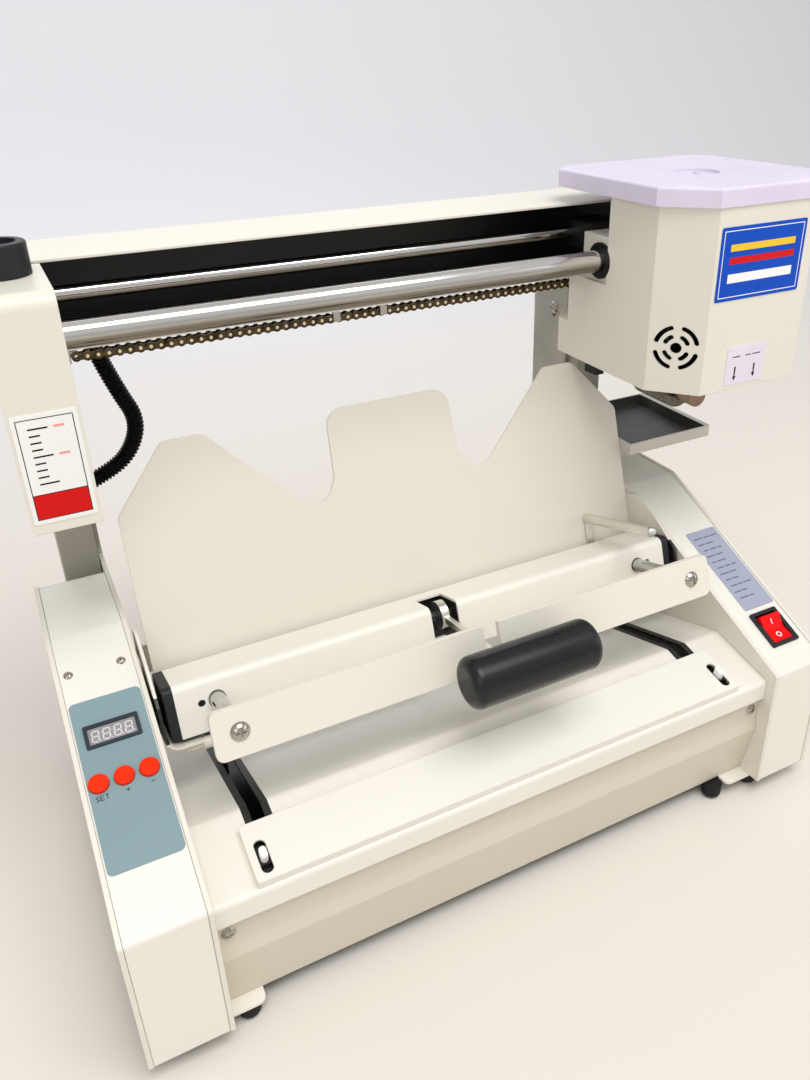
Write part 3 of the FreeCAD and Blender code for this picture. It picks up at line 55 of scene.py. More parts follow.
class Flow:  # a shader socket that sums can be written with
    def __init__(self, recipe, socket):
        self.recipe = recipe
        self.socket = socket

    def reckon(self, operation, first, second):
        return self.recipe.node("ShaderNodeMath", {"operation": operation}, {0: first, 1: second})

    def __add__(self, other):
        return self.reckon("ADD", self, other)

    def __sub__(self, other):
        return self.reckon("SUBTRACT", self, other)

    def __rsub__(self, other):
        return self.reckon("SUBTRACT", other, self)

    def __mul__(self, other):
        return self.reckon("MULTIPLY", self, other)

    def __gt__(self, other):
        return self.reckon("GREATER_THAN", self, other)

    def __lt__(self, other):
        return self.reckon("LESS_THAN", self, other)

    def band(self, low, high):  # 0 at low, 1 at high, held in between
        return self.recipe.node("ShaderNodeMapRange", {"clamp": True}, {0: self, 1: low, 2: high})


class Recipe:  # one material: its node tree and its shader
    def __init__(self, name, **uniform):
        self.material = bpy.data.materials.new(name)
        self.material.use_nodes = True
        self.tree = self.material.node_tree
        self.shader = self.tree.nodes["Principled BSDF"]
        for socket, value in uniform.items():
            self.shader.inputs[socket.replace("_", " ")].default_value = value
        self.coords = self.node("ShaderNodeTexCoord", out="Object")
        self.facing = self.node("ShaderNodeNewGeometry", out="Normal")
        self.rounded = None

    def node(self, kind, settings=None, sockets=None, out=0):
        made = self.tree.nodes.new(kind)
        for key, value in (settings or {}).items():
            if key == "stops":
                ramp = made.color_ramp.elements
                for spare in range(len(value) - len(ramp)):
                    ramp.new(0.5)
                for element, (position, colour) in zip(ramp, value):
                    element.position = position
                    element.color = colour
            else:
                setattr(made, key, value)
        for key, value in (sockets or {}).items():
            if isinstance(value, Flow):
                self.tree.links.new(value.socket, made.inputs[key])
            else:
                made.inputs[key].default_value = value
        return Flow(self, made.outputs[out])

    def feed(self, **flows):
        for socket, flow in flows.items():
            self.tree.links.new(flow.socket, self.shader.inputs[socket.replace("_", " ")])
        return self.material

    def stretched(self, stretch):
        return self.node("ShaderNodeVectorMath", {"operation": "MULTIPLY"}, {0: self.coords, 1: stretch})

    def noise(self, scale, detail=2.0, stretch=None):
        vector = self.stretched(stretch) if stretch else self.coords
        return self.node("ShaderNodeTexNoise", {}, {"Vector": vector, "Scale": scale, "Detail": detail})

    def axis(self, letter):
        return self.node("ShaderNodeSeparateXYZ", {}, {0: self.coords}, out=letter)

    def down(self):  # 1 on an underside, -1 on a top
        return 0.0 - self.node("ShaderNodeSeparateXYZ", {}, {0: self.facing}, out="Z")

    def mix(self, factor, first, second):
        return self.node("ShaderNodeMix", {"data_type": "RGBA"}, {0: factor, 6: first, 7: second}, out=2)

    def softEdges(self, radius):  # the small radius that every real edge has
        self.rounded = self.node("ShaderNodeBevel", {"samples": 4}, {"Radius": radius})
        return self.rounded

    def edges(self, gain):  # 1 where an edge turns
        pair = {0: self.rounded, 1: self.facing}
        alike = self.node("ShaderNodeVectorMath", {"operation": "DOT_PRODUCT"}, pair, out="Value")
        return (1 - alike).band(0.02, 0.02 + 1.0 / gain)

    def bump(self, height, strength, distance):
        sockets = {"Height": height, "Strength": strength, "Distance": distance}
        if self.rounded:
            sockets["Normal"] = self.rounded
        return self.node("ShaderNodeBump", {}, sockets)


def shade(red, green, blue):
    return (red, green, blue, 1.0)


# ---- materials ----
paint = {
    "cream": shade(0.80, 0.765, 0.675),
    "creamPale": shade(0.86, 0.83, 0.755),
    "beige": shade(0.77, 0.735, 0.64),
    "apron": shade(0.69, 0.63, 0.515),
    # grey: painted shade on the posts and on the tops of the inner plates
    "grey": shade(0.36, 0.34, 0.29),
    "edgeWearAndHighlight": shade(0.95, 0.935, 0.90),      # the edges: a little wear, and a painted highlight along them
    "dust": shade(0.60, 0.57, 0.50),
    "shade": shade(0.012, 0.012, 0.011),   # painted shade for the insides, hollows and gaps
    "roughness": 0.36,
    "peelScale": 900.0,                    # ripples of the powder coat, per metre
    "peelDepth": 0.00002,
    "edgeRadius": 0.0007,
}
clampFrame = {"tilt": 17.9, "y": 165.6, "z": 146.1}     # n runs to the rear, u up
deckFrame = {"front": (7.5, 92.7), "rear": (62.2, 103.9)}   # y and z of two points of the deck
# limits of the painted shade in the hollows, the gaps and under the deck
hollows = {
    "beamWall": 1.5,
    "housing": (-44.6, -7.8, -0.6),        # n, n and u of the inner faces of the jaw
    "armTop": 109.0,
    "panFront": 19.0,
    "register": (178.0, 3.6, 39.0),        # half width, start and end along the deck
    "armSlots": (157.5, 174.5, 41.0),      # inner and outer x of their walls, start along the deck
    "uprightFoot": 181.5,
    "trayWall": 1.0,
    "tabTop": 4.6,
    "swingShade": (-33.0, -3.0),           # u of the painted shade on the middle of the end plates
}


def tinted(colour, factor, lift=0.0):
    return tuple(min(1.0, channel * factor + lift) for channel in colour[:3]) + (1.0,)


def inClamp(recipe):
    origin = place(0, clampFrame["y"], clampFrame["z"])
    angle = math.radians(clampFrame["tilt"])
    y = recipe.axis("Y") - origin.y
    z = recipe.axis("Z") - origin.z
    return y * math.cos(angle) - z * math.sin(angle), y * math.sin(angle) + z * math.cos(angle)


def inDeck(recipe):
    (frontY, frontZ), (rearY, rearZ) = deckFrame["front"], deckFrame["rear"]
    origin = place(0, frontY, frontZ)
    angle = math.atan2(rearZ - frontZ, rearY - frontY)
    y = recipe.axis("Y") - origin.y
    z = recipe.axis("Z") - origin.z
    return y * math.cos(angle) + z * math.sin(angle), z * math.cos(angle) - y * math.sin(angle)


def insideBeam(recipe):
    low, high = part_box("beam")
    wall = hollows["beamWall"] * millimetre * 0.6
    y = recipe.axis("Y")
    z = recipe.axis("Z")
    return (y > low.y + 0.0003) * (y < high.y - wall) * (z > low.z + wall) * (z < high.z - wall)


def swingMiddle(recipe):
    n, u = inClamp(recipe)
    low, high = hollows["swingShade"]
    return (u > low * millimetre) * (u < high * millimetre)


def insideJaw(recipe):
    front, rear, top = (edge * millimetre for edge in hollows["housing"])
    n, u = inClamp(recipe)
    return (n > front) * (n < rear) * (u < top)


def lowArms(recipe):
    return recipe.axis("Z") < place(0, 0, hollows["armTop"]).z


def panInside(recipe):
    return recipe.axis("Y") > place(0, hollows["panFront"], 0).y


def underRegister(recipe):
    half, start, end = (edge * millimetre for edge in hollows["register"])
    inner, outer, begin = (edge * millimetre for edge in hollows["armSlots"])
    along, off = inDeck(recipe)
    x = recipe.axis("X") - place(0, 0, 0).x
    slots = (x * x > inner * inner) * (x * x < outer * outer) * (along > begin)
    plate = (x * x < half * half) * (along > start) * (along < end)
    return (plate + slots).band(0.0, 1.0) * (off < 0.0002) + (recipe.down() > 0.5)


# the tops of the inner plates, painted grey as shade
def shadedUprights(recipe):
    return recipe.axis("Z") > place(0, 0, hollows["uprightFoot"]).z


def tabFoot(recipe):
    return inDeck(recipe)[1] < hollows["tabTop"] * millimetre


def paintedSteel(name, colour, roughness=None, where=None, other=None):
    # powder coat, with painted shade where the mask says
    recipe = Recipe(name, IOR=1.5, Coat_Roughness=0.25)
    recipe.softEdges(paint["edgeRadius"])
    tone = recipe.noise(7.0, 3.0).band(0.3, 0.7)
    peel = recipe.noise(paint["peelScale"], 2.0)
    specks = recipe.noise(420.0, 1.0).band(0.70, 0.78)
    body = recipe.mix(tone, colour, tinted(colour, 0.965))
    body = recipe.mix(specks * 0.10, body, paint["dust"])
    # edges lightened: partly wear, partly a painted highlight
    body = recipe.mix(recipe.edges(3.0) * 0.55, body, paint["edgeWearAndHighlight"])
    # painted shade where the mask says, mottled at random
    if where:
        mottle = recipe.noise(30.0, 4.0, (0.1, 1.0, 1.0)).band(0.35, 0.7)
        second = other or paint["shade"]
        body = recipe.mix(where(recipe), body, recipe.mix(mottle, second, tinted(second, 1.3, 0.004)))
    gloss = recipe.noise(16.0, 4.0) * 0.14 + ((roughness or paint["roughness"]) - 0.06)
    return recipe.feed(Base_Color=body, Roughness=gloss, Normal=recipe.bump(peel, 0.35, paint["peelDepth"]))


def brushedSteel(name, colour, stretch, roughness=0.30, depth=0.00001):
    # grain runs along the axis with the small number
    recipe = Recipe(name, Metallic=1.0)
    recipe.softEdges(0.0003)
    grain = recipe.noise(900.0, 3.0, stretch)
    cloud = recipe.noise(28.0, 4.0).band(0.3, 0.7)
    body = recipe.mix(grain * 0.5 + cloud * 0.4, colour, tinted(colour, 0.72))
    body = recipe.mix(recipe.edges(3.0) * 0.5, body, tinted(colour, 1.3, 0.05))
    gloss = grain * 0.18 + cloud * 0.08 + (roughness - 0.12)
    return recipe.feed(Base_Color=body, Roughness=gloss, Normal=recipe.bump(grain, 0.25, depth))


def groundChrome(name, colour, low):
    # ground rod: fine rings, a few oily streaks along it, and a painted dark reflection on its underside
    recipe = Recipe(name, Metallic=1.0)
    rings = recipe.noise(2600.0, 2.0, (1.0, 0.03, 0.03))
    mottle = recipe.noise(26.0, 5.0, (0.25, 1.0, 1.0)).band(0.42, 0.72)
    body = recipe.mix(mottle * 0.5, colour, tinted(colour, 0.68))
    # painted dark reflection on the underside
    body = recipe.mix(recipe.down().band(-0.30, 0.25), body, low)
    gloss = rings * 0.05 + mottle * 0.13 + 0.075
    return recipe.feed(Base_Color=body, Roughness=gloss, Normal=recipe.bump(rings, 0.08, 0.000004))


def mouldedPlastic(name, colour, roughness, grainScale=1400.0, grain=0.4, edgeRadius=0.0005,
                   rub=0.25, gleam=0.30, where=None):
    recipe = Recipe(name, IOR=1.46, Specular_IOR_Level=gleam)
    recipe.softEdges(edgeRadius)
    texture = recipe.noise(grainScale, 2.0)
    cloud = recipe.noise(24.0, 4.0).band(0.3, 0.75)
    body = recipe.mix(cloud * 0.5 + texture * 0.2, colour, tinted(colour, 1.2, 0.004))
    body = recipe.mix(recipe.edges(3.0) * rub, body, tinted(colour, 1.6, 0.02))
    # painted shade where the mask says
    if where:
        body = recipe.mix(where(recipe), body, paint["shade"])
    gloss = texture * 0.12 + cloud * 0.10 + (roughness - 0.10)
    return recipe.feed(Base_Color=body, Roughness=gloss, Normal=recipe.bump(texture, grain, 0.00003))


def printedFilm(name, colour, roughness=0.42, fleck=0.05, gleam=0.25):
    recipe = Recipe(name, IOR=1.45, Specular_IOR_Level=gleam)
    weave = recipe.noise(1600.0, 1.0)
    cloud = recipe.noise(20.0, 3.0).band(0.3, 0.7)
    body = recipe.mix(cloud * 0.5 + weave * fleck * 4, colour, tinted(colour, 1.08, 0.003))
    return recipe.feed(Base_Color=body, Roughness=weave * 0.08 + cloud * 0.06 + (roughness - 0.06),
                       Normal=recipe.bump(weave, 0.25, 0.00001))


def twoFilms(name, lower, upper, level):
    # one stack of labels: the plate above the level, the small label below it
    recipe = Recipe(name, IOR=1.45, Specular_IOR_Level=0.22)
    weave = recipe.noise(1600.0, 1.0)
    cloud = recipe.noise(20.0, 3.0).band(0.3, 0.7)
    above = recipe.axis("Z") > level
    small = recipe.mix(cloud, lower, tinted(lower, 1.05))
    plate = recipe.mix(cloud, upper, tinted(upper, 1.2))
    body = recipe.mix(above, small, plate)
    return recipe.feed(Base_Color=body, Roughness=weave * 0.08 + cloud * 0.08 + 0.3,
                       Normal=recipe.bump(weave, 0.2, 0.00001))


def oiledChain(name, colour, polished):
    # dark oily plates, bright pin heads outside them
    recipe = Recipe(name, Metallic=1.0)
    recipe.softEdges(0.00025)
    oil = recipe.noise(160.0, 4.0).band(0.35, 0.65)
    low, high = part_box("chain")
    across = recipe.axis("Y") - (low.y + high.y) / 2
    heads = across * across > ((high.y - low.y) / 2 - 0.0002) ** 2
    body = recipe.mix(oil, colour, tinted(colour, 0.35))
    body = recipe.mix(recipe.edges(2.0) * 0.6, body, tinted(polished, 0.7))
    body = recipe.mix(heads, body, polished)
    gloss = oil * 0.22 + 0.20
    return recipe.feed(Base_Color=body, Roughness=gloss, Normal=recipe.bump(oil, 0.2, 0.00003))


def twoMetals(name, rear, front, split):
    # turned metal, another one in front of the split
    recipe = Recipe(name, Metallic=1.0)
    recipe.softEdges(0.0008)
    turned = recipe.noise(1400.0, 2.0, (0.05, 1.0, 0.05))
    glue = recipe.noise(40.0, 4.0).band(0.45, 0.7)
    near = recipe.axis("Y") < split
    clean = recipe.mix(near, rear, front)
    stained = recipe.mix(near, tinted(rear, 0.3), tinted(front, 0.5))
    body = recipe.mix(glue * 0.5, clean, stained)
    return recipe.feed(Base_Color=body, Roughness=turned * 0.12 + glue * 0.2 + 0.16,
                       Normal=recipe.bump(turned, 0.15, 0.00001))


def trayFinish(name, rim, inside):
    # pale folded rim, the inside dark with old glue
    low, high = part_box("drip_tray")
    wall = hollows["trayWall"] * millimetre
    recipe = Recipe(name, IOR=1.5)
    recipe.softEdges(0.0004)
    x = recipe.axis("X")
    y = recipe.axis("Y")
    well = (x > low.x + wall) * (x < high.x - wall) * (y > low.y + wall) * (y < high.y - wall)
    well = well * (recipe.axis("Z") < high.z - 0.0002)
    streaks = recipe.noise(60.0, 4.0, (0.2, 1.0, 1.0)).band(0.35, 0.7)
    drips = recipe.noise(24.0, 3.0).band(0.5, 0.7)
    pale = recipe.mix(streaks * 0.5, rim, tinted(rim, 0.86))
    dark = recipe.mix(drips, inside, tinted(inside, 2.2, 0.006))
    return recipe.feed(Base_Color=recipe.mix(well, pale, dark), Roughness=streaks * 0.15 + drips * 0.1 + 0.3,
                       Normal=recipe.bump(drips * well, 0.3, 0.0003))


cream = paintedSteel("cream_powder_coat", paint["cream"])
creamPale = paintedSteel("pale_powder_coat", paint["creamPale"])
beige = paintedSteel("beige_powder_coat", paint["beige"], 0.42)
apronPaint = paintedSteel("apron_powder_coat", paint["apron"], 0.42)
# the posts painted grey as shade
greyShadePaint = paintedSteel("grey_painted_shade", paint["grey"], 0.42)
# these masks paint shade on the insides, the gaps and the tops of the inner plates
creamBeam = paintedSteel("beam_powder_coat", paint["cream"], None, insideBeam)
creamJaw = paintedSteel("jaw_powder_coat", paint["creamPale"], None, insideJaw)
creamArms = paintedSteel("arm_powder_coat", paint["cream"], None, lowArms)
creamSwing = paintedSteel("swing_powder_coat", paint["cream"], None, swingMiddle)
creamPan = paintedSteel("pan_powder_coat", paint["creamPale"], None, panInside)
creamTable = paintedSteel("table_powder_coat", paint["creamPale"], None, underRegister)
creamPlates = paintedSteel("plate_powder_coat", paint["cream"], None, shadedUprights, paint["grey"])
steelX = brushedSteel("satin_steel", shade(0.50, 0.48, 0.44), (0.04, 1.0, 1.0))
steelY = brushedSteel("satin_steel_lengthways", shade(0.88, 0.86, 0.80), (1.0, 0.04, 1.0), 0.34)
greySteel = brushedSteel("grey_steel", shade(0.34, 0.32, 0.29), (1.0, 1.0, 0.05), 0.42)
screwSteel = brushedSteel("nickel_screws", shade(0.50, 0.46, 0.41), (1.0, 1.0, 1.0), 0.20)
chrome = groundChrome("ground_chrome", shade(0.81, 0.80, 0.78), shade(0.24, 0.212, 0.18))
chromeClamp = groundChrome("clamp_rod_chrome", shade(0.55, 0.55, 0.54), shade(0.20, 0.18, 0.15))
charcoal = mouldedPlastic("charcoal_plastic", shade(0.014, 0.016, 0.020), 0.45)
blackMetal = mouldedPlastic("black_oxide", shade(0.008, 0.008, 0.008), 0.5, 900.0, 0.3)
gripPlastic = mouldedPlastic("grip_satin_black", shade(0.005, 0.006, 0.008), 0.28, 900.0, 0.2, 0.001,
                             0.05, 0.45)
blackRubber = mouldedPlastic("black_rubber", shade(0.010, 0.010, 0.010), 0.65, 700.0, 0.6)
conduitPlastic = mouldedPlastic("conduit_plastic", shade(0.0012, 0.0012, 0.0012), 0.30, 1200.0, 0.1,
                                0.0002, 0.01, 0.15)
lidPlastic = mouldedPlastic("lid_lavender", shade(0.68, 0.625, 0.765), 0.34, 900.0, 0.15, 0.0009, 0.4,
                            0.35)
orangePlastic = mouldedPlastic("button_orange", shade(0.90, 0.028, 0.001), 0.34, 900.0, 0.15, 0.0006,
                               0.10, 0.1)
redPlastic = mouldedPlastic("rocker_red", shade(0.80, 0.003, 0.004), 0.30, 900.0, 0.12, 0.0006, 0.08,
                            0.12)
whitePlastic = mouldedPlastic("tab_white", shade(0.86, 0.85, 0.82), 0.40, 900.0, 0.2, 0.0005, 0.2, 0.4,
                              tabFoot)
overlayFilm = printedFilm("overlay_film", shade(0.225, 0.325, 0.350))
lilacFilm = printedFilm("instruction_film", shade(0.365, 0.390, 0.500), 0.40)
whiteFilm = printedFilm("white_film", shade(0.86, 0.85, 0.83), 0.30)
redInk = printedFilm("red_ink", shade(0.64, 0.001, 0.001), 0.40)
pinkInk = printedFilm("pink_ink", shade(0.85, 0.33, 0.29), 0.36)
darkInk = printedFilm("dark_ink", shade(0.008, 0.008, 0.010), 0.36, 0.05, 0.15)
yellowInk = printedFilm("yellow_ink", shade(0.86, 0.56, 0.03), 0.34)
greyInk = printedFilm("grey_ink", shade(0.150, 0.165, 0.255), 0.40)
whiteInk = printedFilm("white_ink", shade(0.90, 0.90, 0.90), 0.34)
panePlastic = mouldedPlastic("display_pane", shade(0.30, 0.285, 0.30), 0.20, 700.0, 0.05)
segmentPlastic = mouldedPlastic("display_segments", shade(0.74, 0.72, 0.73), 0.30, 700.0, 0.05)
bezelPlastic = mouldedPlastic("display_bezel", shade(0.024, 0.034, 0.046), 0.30)
chainMetal = oiledChain("oiled_chain", shade(0.115, 0.085, 0.050), shade(0.80, 0.66, 0.44))
machinedAlu = brushedSteel("machined_aluminium", shade(0.50, 0.49, 0.46), (1.0, 0.05, 1.0), 0.36)
drumSilver = twoMetals("drum_silver", shade(0.12, 0.108, 0.092), shade(0.12, 0.108, 0.092), 0.0)
tankMetals = twoMetals("tank_metals", shade(0.24, 0.225, 0.205), shade(0.25, 0.17, 0.12),
                       place(0, 112.8, 0).y)
trayPaint = trayFinish("tray_finish", shade(0.62, 0.59, 0.52), shade(0.055, 0.053, 0.050))
labelFilms = twoFilms("box_label_films", shade(0.76, 0.71, 0.82), shade(0.000, 0.062, 0.46),
                      place(0, 0, 343).z)

finishes = {
    cream: ["outer_plates", "rear_tie", "head_cover", "box_shell", "front_bar", "bearing_block"],
    creamSwing: ["swing_plates"],
    creamPale: ["cover_left", "cover_right", "register_plate"],
    creamPlates: ["inner_plate_left", "inner_plate_right"],
    creamTable: ["table"],
    creamPan: ["base_pan"],
    creamArms: ["rear_jaw"],
    creamJaw: ["jaw_housing"],
    apronPaint: ["apron"],
    greyShadePaint: ["posts"],
    beige: ["w_plate"],
    creamBeam: ["beam"],
    greySteel: ["legs"],
    steelX: ["lead_screw", "sprocket", "chain_mounts"],
    steelY: ["side_stop", "clamp_lever"],
    screwSteel: ["base_screws", "lock_screws", "bar_screws"],
    chrome: ["front_rod", "rear_rod"],
    chromeClamp: ["clamp_rods"],
    machinedAlu: ["rod_blocks"],
    tankMetals: ["glue_tank"],
    trayPaint: ["drip_tray"],
    chainMetal: ["chain"],
    charcoal: ["knob", "jaw_end_caps", "rocker_bezel", "conduit_gland", "power_inlet"],
    blackMetal: ["rod_bush", "rear_guide", "box_floor"],
    gripPlastic: ["grip"],
    blackRubber: ["rubber_feet"],
    conduitPlastic: ["conduit"],
    lidPlastic: ["box_lid"],
    orangePlastic: ["button_set", "button_plus", "button_minus"],
    redPlastic: ["rocker"],
    whitePlastic: ["register_tab_left", "register_tab_right"],
    overlayFilm: ["control_overlay"],
    lilacFilm: ["instruction_plate"],
    whiteFilm: ["head_plate"],
    labelFilms: ["box_labels"],
    bezelPlastic: ["display"],
    drumSilver: ["glue_drum"],
}
for material, names in finishes.items():
    for name in names:
        slots = nodes[name].data.materials
        slots.clear()
        slots.append(material)
print("finishes on", sum(len(names) for names in finishes.values()), "nodes")


# ---- flat prints: thin raised film or ink on a face ----
class Face:  # a flat face to print on: across, along and out of it, in millimetres
    def __init__(self, origin, across, along):
        self.origin = origin
        self.across = across.normalized()
        self.along = along.normalized()
        self.out = self.across.cross(self.along)

    def at(self, u, v, w=0.0):
        return self.origin + (self.across * u + self.along * v + self.out * w) * millimetre

    def tilted(self, v, w, angle):  # the same face turned about a line across it
        turn = Matrix.Rotation(angle, 3, self.across)
        return Face(self.at(0, v, w) - turn @ (self.along * v + self.out * w) * millimetre, self.across,
                    turn @ self.along)


class Ink:  # closed solids of one colour on a face
    def __init__(self, face, low=-0.05, high=0.06):
        self.face = face
        self.low = low
        self.high = high
        self.bm = bmesh.new()

    def ring(self, corners):
        return [self.bm.verts.new(self.face.at(*corner)) for corner in corners]

    def area(self, outline):
        lower = self.ring([(u, v, self.low) for u, v in outline])
        upper = self.ring([(u, v, self.high) for u, v in outline])
        self.bm.faces.new(reversed(lower))
        self.bm.faces.new(upper)
        for i in range(len(outline)):
            j = (i + 1) % len(outline)
            self.bm.faces.new((lower[i], lower[j], upper[j], upper[i]))
        return self

    def box(self, u0, u1, v0, v1, radius=0.0):
        if radius <= 0:
            return self.area([(u0, v0), (u1, v0), (u1, v1), (u0, v1)])
        return self.area(roundedOutline(u0, u1, v0, v1, radius))

    def line(self, path, width, closed=False):
        count = len(path)
        rings = []
        for i, (u, v) in enumerate(path):
            before = path[i - 1] if closed or i > 0 else path[0]
            after = path[(i + 1) % count] if closed or i < count - 1 else path[-1]
            runs = [Vector((u - before[0], v - before[1])), Vector((after[0] - u, after[1] - v))]
            sides = [Vector((-run.y, run.x)).normalized() for run in runs if run.length > 1e-9]
            mitre = sum(sides, Vector((0, 0))) / len(sides)
            side = mitre * (width / 2 / mitre.length_squared)
            left = (u + side.x, v + side.y)
            right = (u - side.x, v - side.y)
            rings.append(self.ring([(*left, self.low), (*right, self.low),
                                    (*right, self.high), (*left, self.high)]))
        for i in range(count if closed else count - 1):
            near, far = rings[i], rings[(i + 1) % count]
            for k in range(4):
                self.bm.faces.new((near[k], near[(k + 1) % 4], far[(k + 1) % 4], far[k]))
        if not closed:
            self.bm.faces.new(rings[0][::-1])
            self.bm.faces.new(rings[-1])
        return self

    def done(self, name, body, slotName, material):
        bmesh.ops.recalc_face_normals(self.bm, faces=self.bm.faces[:])
        return meshPiece(name, self.bm, body, material)


def meshPiece(name, bm, body, material, smooth=False):
    mesh = bpy.data.meshes.new(name)
    bm.to_mesh(mesh)
    bm.free()
    mesh.materials.append(material)
    if smooth:
        mesh.shade_smooth()
    piece = bpy.data.objects.new(name, mesh)
    bpy.context.scene.collection.objects.link(piece)
    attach(piece, body)
    return piece


def arc(u, v, radius, start, end, steps):
    angles = [math.radians(start + (end - start) * i / steps) for i in range(steps + 1)]
    return [(u + radius * math.cos(angle), v + radius * math.sin(angle)) for angle in angles]


def roundedOutline(u0, u1, v0, v1, radius, steps=5):
    corners = [(u1 - radius, v0 + radius, -90), (u1 - radius, v1 - radius, 0), (u0 + radius, v1 - radius, 90),
               (u0 + radius, v0 + radius, 180)]
    return [point for u, v, start in corners for point in arc(u, v, radius, start, start + 90, steps)]


def frameOutline(u0, u1, v0, v1):
    return [(u0, v0), (u1, v0), (u1, v1), (u0, v1)]


def circle(u, v, radius, steps=32):
    return arc(u, v, radius, 0, 360 - 360 / steps, steps - 1)


boxFace = {"foldHeight": 101.5, "slopeEnd": 183.4, "topHeight": 180.3}
slopeAngle = math.atan2(boxFace["topHeight"] - boxFace["foldHeight"], boxFace["slopeEnd"])
slope = Face(place(0, 0, boxFace["foldHeight"]), Vector((1, 0, 0)),
             Vector((0, math.cos(slopeAngle), math.sin(slopeAngle))))
filmTop = -0.2                             # top of the films, off the line of the plates


def frontFace(node):
    depth = Vector((0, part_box(node)[0].y - plateLow.y, 0))
    return Face(place(0, 0, 0) + depth, Vector((1, 0, 0)), Vector((0, 0, 1)))


# ---- display and marks on the left slope ----
displayLook = {
    "window": (-246.6, -218.4, 117.7, 129.4),
    "paneLevel": -0.55,
    "digits": 4,
    "digitWidth": 3.9,
    "digitHeight": 7.0,
    "pitch": 6.5,
    "slant": 0.09,
    "stroke": 0.85,
    "gap": 0.28,
    "dotRadius": 0.5,
}


def segmentPaths(width, height):
    half = height / 2
    return [((0, 0), (width, 0)), ((0, half), (width, half)), ((0, height), (width, height)),
            ((0, 0), (0, half)), ((0, half), (0, height)),
            ((width, 0), (width, half)), ((width, half), (width, height))]


def displayDigits():
    look = displayLook
    u0, u1, v0, v1 = look["window"]
    Ink(slope, look["paneLevel"] - 0.6, look["paneLevel"]).box(u0, u1, v0, v1).done(
        "display_pane", "base", "display", panePlastic)
    ink = Ink(slope, look["paneLevel"] - 0.05, look["paneLevel"] + 0.05)
    total = look["pitch"] * (look["digits"] - 1) + look["digitWidth"]
    start = (u0 + u1 - total) / 2 - 0.5
    base = (v0 + v1 - look["digitHeight"]) / 2
    for digit in range(look["digits"]):
        left = start + digit * look["pitch"]
        for (ua, va), (ub, vb) in segmentPaths(look["digitWidth"], look["digitHeight"]):
            run = Vector((ub - ua, vb - va)).normalized() * look["gap"]
            ends = [(ua + run.x, va + run.y), (ub - run.x, vb - run.y)]
            ink.line([(left + u + v * look["slant"], base + v) for u, v in ends], look["stroke"])
        dot = (left + look["digitWidth"] + 1.1, base + look["dotRadius"] * 0.3)
        ink.area(circle(dot[0], dot[1], look["dotRadius"], 10))
    ink.done("display_digits", "base", "display", segmentPlastic)


buttonMarks = {
    "level": 84.2,
    "set": -246.6,
    "plus": -232.2,
    "minus": -218.0,
    "stroke": 0.42,
    "letter": (2.0, 2.9),
    "letterGap": 0.7,
    "arm": 1.15,                           # half length of the strokes of plus and minus
}


def buttonPrints():
    look = buttonMarks
    stroke = look["stroke"]
    wide, high = look["letter"]
    ink = Ink(slope, filmTop - 0.05, filmTop + 0.05)
    v = look["level"] - high / 2
    gap = look["letterGap"]
    u = look["set"] - wide * 1.5 - gap
    bend = wide / 2
    curve = [(u + wide, v + high - 0.25), (u + bend, v + high), (u + 0.15, v + high * 0.78),
             (u + bend, v + high / 2), (u + wide - 0.1, v + high * 0.24), (u + bend, v), (u, v + 0.25)]
    ink.line(curve, stroke)
    u += wide + gap
    ink.line([(u, v + high), (u, v), (u + wide, v)], stroke)
    ink.line([(u + wide, v + high), (u, v + high)], stroke)
    ink.line([(u, v + high / 2), (u + wide * 0.85, v + high / 2)], stroke)
    u += wide + gap
    ink.line([(u, v + high), (u + wide, v + high)], stroke)
    ink.line([(u + wide / 2, v + high), (u + wide / 2, v)], stroke)
    arm = look["arm"]
    level = look["level"]
    ink.line([(look["plus"] - arm, level), (look["plus"] + arm, level)], stroke)
    ink.line([(look["plus"], level - arm), (look["plus"], level + arm)], stroke)
    ink.line([(look["minus"] - arm, level), (look["minus"] + arm, level)], stroke)
    ink.done("button_marks", "base", "overlay", darkInk)


displayDigits()
buttonPrints()
print("display and marks done")

# ---- instruction plate and rocker on the right slope ----
instructionLook = {
    "left": 226.0,
    "top": 128.5,
    "lineStep": 6.1,
    "stroke": 1.15,
    "wordGap": 1.2,
    "lines": [(9, 6, 7), (6, 8), (5, 7, 4), (8, 7), (4, 9), (7, 5, 5), (9, 6), (5, 7), (6, 4, 8), (7, 5),
              (9, 4)],
}


def instructionLines():
    look = instructionLook
    ink = Ink(slope, filmTop - 0.05, filmTop + 0.04)
    for row, words in enumerate(look["lines"]):
        v = look["top"] - row * look["lineStep"]
        u = look["left"] + (row % 3) * 0.8
        for word in words:
            ink.line([(u, v), (u + word, v)], look["stroke"])
            u += word + look["wordGap"]
    ink.done("instruction_lines", "base", "lilac", greyInk)


rockerLook = {
    "middle": (235.4, 36.3),
    "pivotDepth": -4.0,
    "tilt": 12.0,
    "dip": 3.6,                            # the two faces meet this far below their ends
    "halfLength": 11.0,
    "dipLevel": -0.6,
    "stroke": 0.8,
    "barLength": 4.2,
    "ringRadius": 1.9,
}


def rockerMarks():
    look = rockerLook
    u, v = look["middle"]
    tipped = slope.tilted(v, look["pivotDepth"], math.radians(look["tilt"]))
    angle = math.atan2(look["dip"], look["halfLength"])
    for name, side in (("rocker_mark_on", 1), ("rocker_mark_off", -1)):
        half = tipped.tilted(v, look["dipLevel"], side * angle)
        level = look["dipLevel"]
        ink = Ink(half, level - 0.08, level + 0.06)
        centre = v + side * look["halfLength"] * 0.52
        if side > 0:
            reach = look["barLength"] / 2
            ink.line([(u, centre - reach), (u, centre + reach)], look["stroke"])
        else:
            ink.line(circle(u, centre, look["ringRadius"]), look["stroke"], True)
        ink.done(name, "rocker", "white", whiteInk)


instructionLines()
rockerMarks()
print("right slope done")

